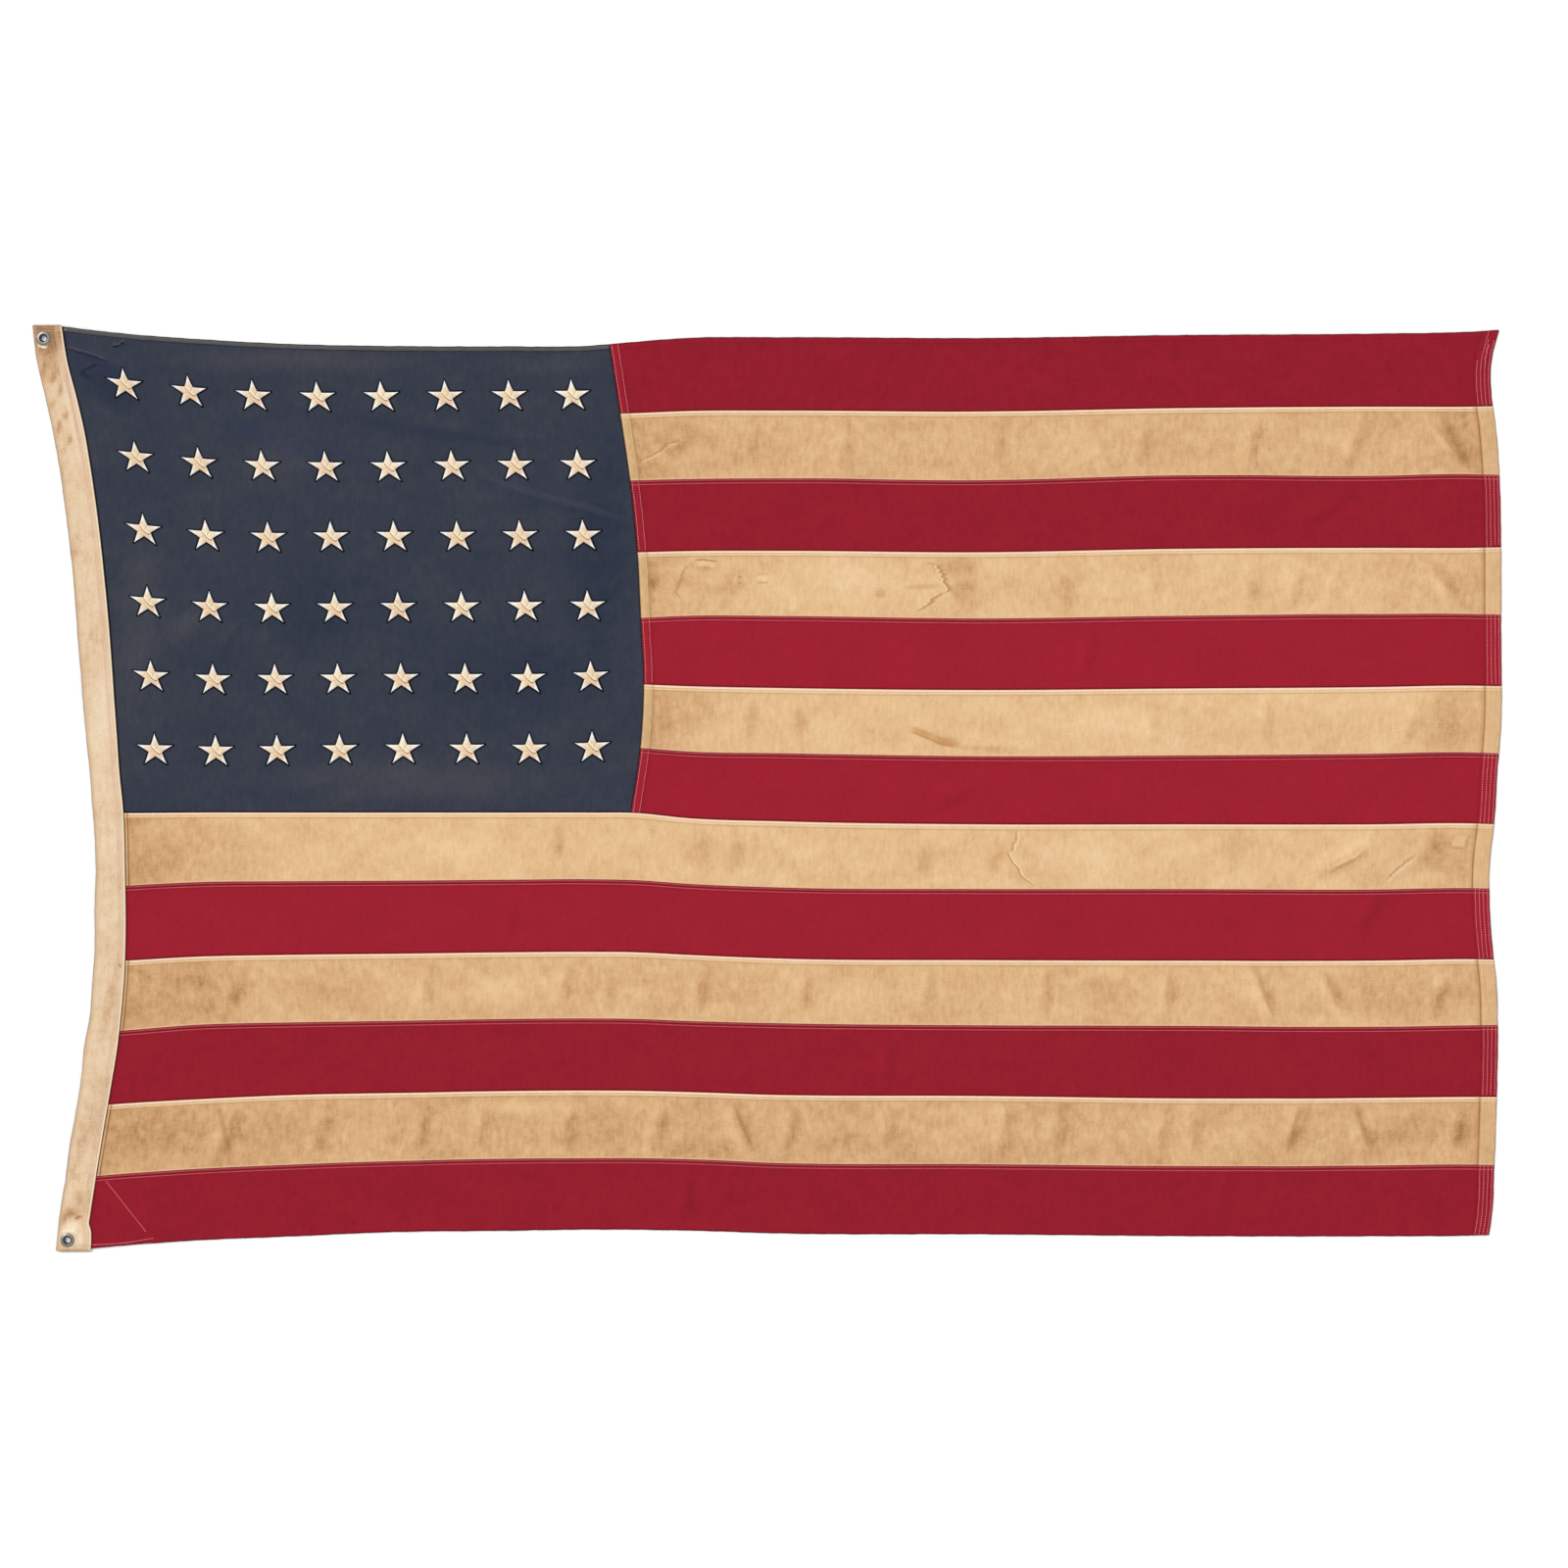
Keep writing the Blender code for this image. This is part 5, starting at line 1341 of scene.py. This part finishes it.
def star_field(name, surface, rise, side, material):
    """Every star as one mesh, on the cloth's face (side 1) or, nearly flush, on its back (side -1)."""
    points, marks, places, faces, start = [], [], [], [], 0
    tints = np.random.default_rng(13).uniform(0, 1, len(star_centres))
    index = np.arange((PETAL_STEPS + 1) * (PETAL_WIDE + 1)).reshape(PETAL_STEPS + 1, -1)
    quads = np.stack([index[:-1, :-1], index[1:, :-1], index[1:, 1:], index[:-1, 1:]], axis=-1).reshape(-1, 4)
    for centre, axes, tint in zip(star_centres, star_axes, tints):
        for k, order in enumerate(PETAL_ORDER):
            x, y, z, mark = petal(order, rise)
            angle = np.radians(90 + 72 * k)
            east = x * np.cos(angle) - y * np.sin(angle)
            north = x * np.sin(angle) + y * np.cos(angle)
            spot = centre + east[..., None] * axes[:, 0] + north[..., None] * axes[:, 1]
            level = surface(spot[..., 0], spot[..., 1])
            points.append(np.stack([spot[..., 0], spot[..., 1], level + side * z], axis=-1).reshape(-1, 3))
            marks.append(mark.reshape(-1, 3))
            places.append(np.stack([east, north, east * 0 + tint], axis=-1).reshape(-1, 3))
            faces.append((quads if side > 0 else quads[:, ::-1]) + start)
            start += index.size
    field = new_piece(name, np.concatenate(points), np.concatenate(faces).tolist(), material)
    store(field.data, "petal", np.concatenate(marks))
    store(field.data, "in_star", np.concatenate(places))
    return field


# %% [markdown]
# The thread is mercerised cotton, spun smooth, so it is glossier than the cloth. It was white and is now cream, with
# whiter tips, a painted highlight along the petals' rims, painted shade in brown lines and a pinkish band where petals
# lap, a painted highlight beside those lines, and a pink or tan tint on some stars.

# %% Mercerised embroidery thread
SATIN = 1.3 * MM / STAR_WIDE  # the real threads lie 0.5 mm apart, drawn coarser to show; in star radii
ALONG, ASIDE = 0, 2  # a petal's marks: how far out along it, and how far from its middle line
SATIN_TINTS = (  # by which mark, from and to where, from and to what strength, and the colour
    (ALONG, 0.05, 0.45, 0.55, 0.0, "#FAE6BE"),  # yellower at the star's middle
    (ASIDE, 0.45, 0.95, 0.0, 0.72, "#FFFAF0"),  # painted highlight, pale at the petal's rim
    (ALONG, 0.40, 0.80, 0.0, 0.90, "#FFFFFF"),  # white at its tip
)
STAR_LAPS = (  # where petals lap over others, drawn as painted shade and highlight, as places right of and below the star's middle, in radii
    (((-0.27, -0.32), (-0.10, -0.09), (0.04, 0.10), (0.146, 0.19), (0.225, 0.235), (0.38, 0.20)),
     ((7.0, 5.0, 6.0, "#EDC39C", 0.55), (-2.6, 0.8, 2.2, "#FFF8E0", 0.60), (0.1, 0.6, 1.1, "#8E6A3E", 0.90))),
    (((0.05, -0.03), (0.09, -0.08), (0.13, -0.15), (0.22, -0.30)), ((0.0, 0.5, 1.4, "#B29264", 0.70),)),
    (((-0.42, 0.14), (-0.25, 0.08), (-0.08, 0.02)), ((0.0, 0.4, 1.6, "#D0B486", 0.45),)),
)


def star_thread():
    """Satin stitch: fine ridges across each petal, white tips, painted highlights on the rims, and painted shade where
    petals lap.
    """
    material, tree, shader = new_material("mercerised_star_thread")
    spot = add(tree, "TexCoord")["Object"]
    place_in_petal = stored(tree, "petal")
    marks = split(tree, place_in_petal)
    parts = split(tree, stored(tree, "in_star"))
    streak = grain(tree, place_in_petal, 0.055, 0.31, 2.0)
    blot = grain(tree, spot, 6 * MM, 6 * MM, 3.0)
    share = add(tree, "Clamp", {}, {0: summed(tree, [(parts[2], 0.55), (blot, 0.30), (0.12, 1.0)])})[0]
    colour = mixed(tree, share, linear("#FBEACB"), linear("#E8BF98"))
    for mark, *limits, tint in SATIN_TINTS:
        colour = mixed(tree, eased(tree, marks[mark], *limits), colour, linear(tint))
    down = summed(tree, [(parts[1], -1.0)])
    for line, strokes in STAR_LAPS:
        colour = marked(tree, colour, parts[0], down, False, np.array(line), strokes, MM / STAR_WIDE, 0.15)
    light = summed(tree, [(streak, 0.07), (1.0, 1.0)])
    tree.links.new(dimmed(tree, colour, light), shader.inputs["Base Color"])
    turn = summed(tree, [(marks[0], 2 * np.pi / SATIN)])
    wave = add(tree, "Math", {"operation": "SINE"}, {0: turn})[0]
    raised(tree, shader, [(wave, 0.06), (streak, 0.12)])
    shader.inputs["Roughness"].default_value = 0.6
    shader.inputs["IOR"].default_value = 1.5
    shader.inputs["Specular IOR Level"].default_value = 0.2
    shader.inputs["Sheen Weight"].default_value = 0.05
    return material


# %% The surface that stars and stitches lie on
def surface_tree(name):
    """A tree for finding a sheet's height, face or back, at any point."""
    mesh = sheets[name]["piece"].data
    spots = np.empty(len(mesh.vertices) * 3, np.float32)
    mesh.vertices.foreach_get("co", spots)
    return BVHTree.FromPolygons(spots.reshape(-1, 3).tolist(), [list(face.vertices) for face in mesh.polygons])


def level_reader(tree, side):
    """A function that gives the height of the sheet's face (side 1) or back (side -1), nan beside it."""
    def read(x, y):
        height = np.full(np.shape(x), np.nan)
        for spot in np.ndindex(np.shape(x)):
            hit = tree.ray_cast(Vector((x[spot], y[spot], side)), Vector((0, 0, -side)))[0]
            if hit:
                height[spot] = hit.z
        return height
    return read


canton_tree = surface_tree("canton")
thread = star_thread()
stars = star_field("embroidered_stars", level_reader(canton_tree, 1), CROWN, 1, thread)
stars_back = star_field("embroidered_stars_back", level_reader(canton_tree, -1), BACK_CROWN, -1, thread)
print("stars:", len(stars.data.polygons), "faces in front,", len(stars_back.data.polygons), "behind")

# %% [markdown]
# ## Stitches
#
# Lockstitch shows as a row of short threads with a dip between them, the same on both sides of the cloth. Each stitch
# is a small six-cornered bead laid along its row. Thousands of them are one mesh a sheet, which costs little and makes
# the seams read as sewn from close up. The real thread is 0.5 mm thick, drawn 1.2 mm so that a row shows from a step
# away, and the stitches are 4 mm long where the real ones are 3 mm.

# %% Lay a row of stitches
STITCH = 4.2 * MM
STITCH_LONG = 3.5 * MM
THREAD = 1.2 * MM
FIRST_STITCH = 0.4 * MM  # from the start of the row
BEAD = np.array([(0, 1), (1, 1), (1, -1), (0, -1)])  # base corners: end, side
BEAD_FACES = ((3, 2, 1, 0), (0, 1, 5, 4), (2, 3, 4, 5), (3, 0, 4), (1, 2, 5))
BEAD_CREST = (0.22, 0.78)  # where its crest starts and ends, as shares of its length
BEAD_SUNK = 0.15 * MM
FACE_RISE, BACK_RISE = 0.42 * MM, 0.22 * MM


def stitch_row(path, readers):
    """The six points of each bead along a path, on the face and on the back of the cloth."""
    steps = np.linalg.norm(np.diff(path, axis=0), axis=1)
    reach = np.concatenate([[0], np.cumsum(steps)])
    starts = np.arange(FIRST_STITCH, reach[-1] - STITCH_LONG, STITCH)
    ends = [np.stack([np.interp(starts + extra, reach, path[:, k]) for k in (0, 1)], axis=-1)
            for extra in (0, STITCH_LONG)]
    along = (ends[1] - ends[0]) / np.linalg.norm(ends[1] - ends[0], axis=1, keepdims=True)
    beside = np.stack([-along[:, 1], along[:, 0]], axis=-1) * THREAD / 2
    rows = []
    for side, read, rise in ((1, readers[0], FACE_RISE), (-1, readers[1], BACK_RISE)):
        level = [read(end[:, 0], end[:, 1]) for end in ends]
        base = [np.column_stack([ends[e] + s * side * beside, level[e] - side * BEAD_SUNK]) for e, s in BEAD]
        crest = [np.column_stack([ends[0] * (1 - t) + ends[1] * t, level[0] * (1 - t) + level[1] * t + side * rise])
                 for t in BEAD_CREST]
        beads = np.stack([*base, *crest], axis=1)
        rows.append(beads[~np.isnan(beads).any(axis=(1, 2))])
    return np.concatenate(rows)


def stitching(name, rows, threads):
    """All the rows of a sheet as one mesh, each row with its thread."""
    beads = np.concatenate(rows)
    faces = [[6 * k + corner for corner in face] for k in range(len(beads)) for face in BEAD_FACES]
    kinds = sorted(set(threads), key=threads.index)
    piece = new_piece(name, beads, faces, *(THREADS[kind] for kind in kinds), smooth=False)
    which = np.repeat([kinds.index(kind) for kind in threads], [len(row) * len(BEAD_FACES) for row in rows])
    piece.data.polygons.foreach_set("material_index", which.astype(np.int32))
    return piece


# %% [markdown]
# The same white thread was used all over, and each cloth has tinted it: pink on the red stripes, where the dye bled,
# nearly red along their seams, where it soaked longest, cream on the bare cotton and grey on the blue. Sewing cotton
# is matt, with a slight unevenness along its length.

# %% Sewing thread
def sewing_thread(name, clean, stained):
    """Matt sewing cotton, tinted by the cloth that it is sewn through."""
    material, tree, shader = new_material(name)
    spot = add(tree, "TexCoord")["Object"]
    share = add(tree, "Clamp", {}, {0: summed(tree, [(grain(tree, spot, 16 * MM, 16 * MM, 3.0), 0.45), (0.5, 1.0)])})[0]
    tree.links.new(mixed(tree, share, linear(clean), linear(stained)), shader.inputs["Base Color"])
    shader.inputs["Roughness"].default_value = 0.85
    shader.inputs["IOR"].default_value = 1.5
    return material


THREADS = {
    "red_cotton": sewing_thread("thread_tinted_pink", "#FFA6A4", "#EC7680"),
    "red_seam": sewing_thread("thread_tinted_red", "#E8707C", "#B84454"),
    "tan_cotton": sewing_thread("thread_aged_cream", "#FCE4BA", "#E4BE8E"),
    "navy_cotton": sewing_thread("thread_aged_grey", "#6B6A6C", "#4E4D53"),
    "aged_canvas": sewing_thread("thread_on_canvas", "#F0CFB2", "#D8AC92"),
}

# %% Rows of stitches on each sheet
FLY_STARTS = (347, 350, 338, 364)  # rows where the fly stitches begin on the top stripe, from the edge inward
PATCH = ((108.3, 1205), (128, 1229), (148.8, 1255.4), (149.6, 1259))
PATCH_HEM = ((93.9, 1270), (112, 1269.2), (131, 1267.7), (150.3, 1264.2), (157.2, 1263.1))
DARN = ((1519, 346.5), (1517.2, 350), (1518, 353.5), (1516, 357), (1516.6, 361), (1514.6, 365), (1515.4, 369),
        (1514.4, 374))  # a mend in zigzag below the fly corner
MENDS = {0: (DARN,), BOTTOM_SEAM - 1: (PATCH, PATCH_HEM)}  # by the stripe that they are on
SWAY = 0.5 * MM


def row_path(at, edge, offset):
    """A row of stitches along one edge of a panel, at an offset from it."""
    upright = edge in ("left", "right")
    order = slice(None, None, -1 if edge in ("right", "bottom") else 1)
    near, x, y = (at[key][:, order] if upright else at[key][order].T for key in (edge, "x", "y"))
    x, y = (np.array([np.interp(offset, *line) for line in zip(near, values)]) for values in (x, y))
    if upright:
        x = x + SWAY * scallops(y, offset / MM)
    else:
        y = y + SWAY * scallops(x, offset / MM) * 0.5
    return np.stack([x, y], axis=-1)


def sew(node):
    """The stitching of one sheet, which rides and is named with it."""
    made = sheets[node]
    at, seam = made["at"], made["seam"]
    tree = surface_tree(node)
    readers = [level_reader(tree, side) for side in (1, -1)]
    paths, level = [], 0
    if node == "heading":
        paths += [row_path(at, "right", offset) for offset in HEADING_STITCHES]
        paths += [row_path(at, edge, END_STITCHES) for edge in ("top", "bottom")]
    elif node == "canton":
        paths.append(row_path(at, "top", SEAM_ROWS[1]))
    else:
        paths += [row_path(at, "top", offset) for offset in (SEAM_ROWS if seam else ())]
        level = len(paths)
        for offset, first in zip(FLY_STITCHES, FLY_STARTS):
            path = row_path(at, "right", offset)
            paths.append(path if seam else path[path[:, 1] < (MIDDLE_ROW - first) * PIXEL])
        if not made["long"]:
            paths += [row_path(at, "left", offset) for offset in CANTON_STITCHES]
        paths += [place(*np.array(line).T) for line in MENDS.get(seam, ())]
    plain = made["slot"]
    along_seam = "red_seam" if plain == "red_cotton" else plain
    threads = [along_seam] * level + [plain] * (len(paths) - level)
    piece = stitching(f"stitching_{node}", [stitch_row(path, readers) for path in paths], threads)
    made["thread"] = piece
    return len(piece.data.polygons)


print("stitch faces:", {node: sew(node) for node in sheets})

# %% [markdown]
# ## What each piece is
#
# Every piece rides on the flag's one body, and the solid that it stands for is hidden.


for node, made in sheets.items():
    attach(made["piece"], "root")
    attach(made["thread"], "root")
    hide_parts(node)
for piece in (stars, stars_back):
    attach(piece, "root")
for end, ring in eyelets.items():
    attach(ring, "root")
    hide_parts(f"eyelet_{end}")
for node, made in sheets.items():
    on_it = [made["thread"]]
    if node == "canton":
        on_it += [stars, stars_back]
    if node == "heading":
        on_it += list(eyelets.values())

# %% [markdown]
# ## The studio
#
# The flag was photographed from straight above on white, in light so even that it has almost no shadow. A white floor
# in bright, even light does that: the sky gives most of the light from everywhere, and one broad, soft sun from the
# upper left gives just enough direction for folds, seams and stars to show.

# %% Floor, light and camera
FLOOR_HALF = 9.0
SKY = 0.72
SUN = 1.75
CAMERA_HEIGHT = 4.4
VIEW = 2.64  # metres of floor across the picture
SENSOR = 36.0  # mm
FLOOR_DROP = 0.2 * MM
SUN_SPREAD = 24  # degrees across
SUN_TOWARD = (0.75, -0.62, -1.0)
bpy.ops.mesh.primitive_plane_add(size=2 * FLOOR_HALF, location=(0, 0, -FLOOR_DROP))
floor = bpy.context.object
floor.name = "studio_floor"
paper, tree, shader = new_material("white_paper")
clouds = grain(tree, add(tree, "TexCoord")["Object"], 0.9, 0.9)
tone = mixed(tree, clouds, linear("#FAFAFA", 1.0), linear("#F7F7F7", 1.0))
tree.links.new(tone, shader.inputs["Base Color"])
shader.inputs["Roughness"].default_value = 0.9
floor.data.materials.append(paper)

world = bpy.data.worlds.new("studio")
bpy.context.scene.world = world
world.use_nodes = True
sky = world.node_tree.nodes["Background"].inputs
sky["Color"].default_value = (1, 1, 1, 1)
sky["Strength"].default_value = SKY

sun = bpy.data.objects.new("soft_sun", bpy.data.lights.new("soft_sun", "SUN"))
sun.data.energy = SUN
sun.data.angle = np.radians(SUN_SPREAD)
sun.rotation_euler = Vector(SUN_TOWARD).to_track_quat("-Z", "Y").to_euler()
bpy.context.scene.collection.objects.link(sun)

camera = bpy.data.objects.new("camera", bpy.data.cameras.new("camera"))
middle = place(800.0, 800.0)
camera.location = (float(middle[0]), float(middle[1]), CAMERA_HEIGHT)
camera.data.sensor_width = SENSOR
camera.data.lens = SENSOR * CAMERA_HEIGHT / VIEW
camera.data.dof.use_dof = False
bpy.context.scene.collection.objects.link(camera)
bpy.context.scene.camera = camera
bpy.context.scene.view_settings.view_transform = "Standard"
print("lens", round(camera.data.lens, 1), "mm at", CAMERA_HEIGHT, "m")
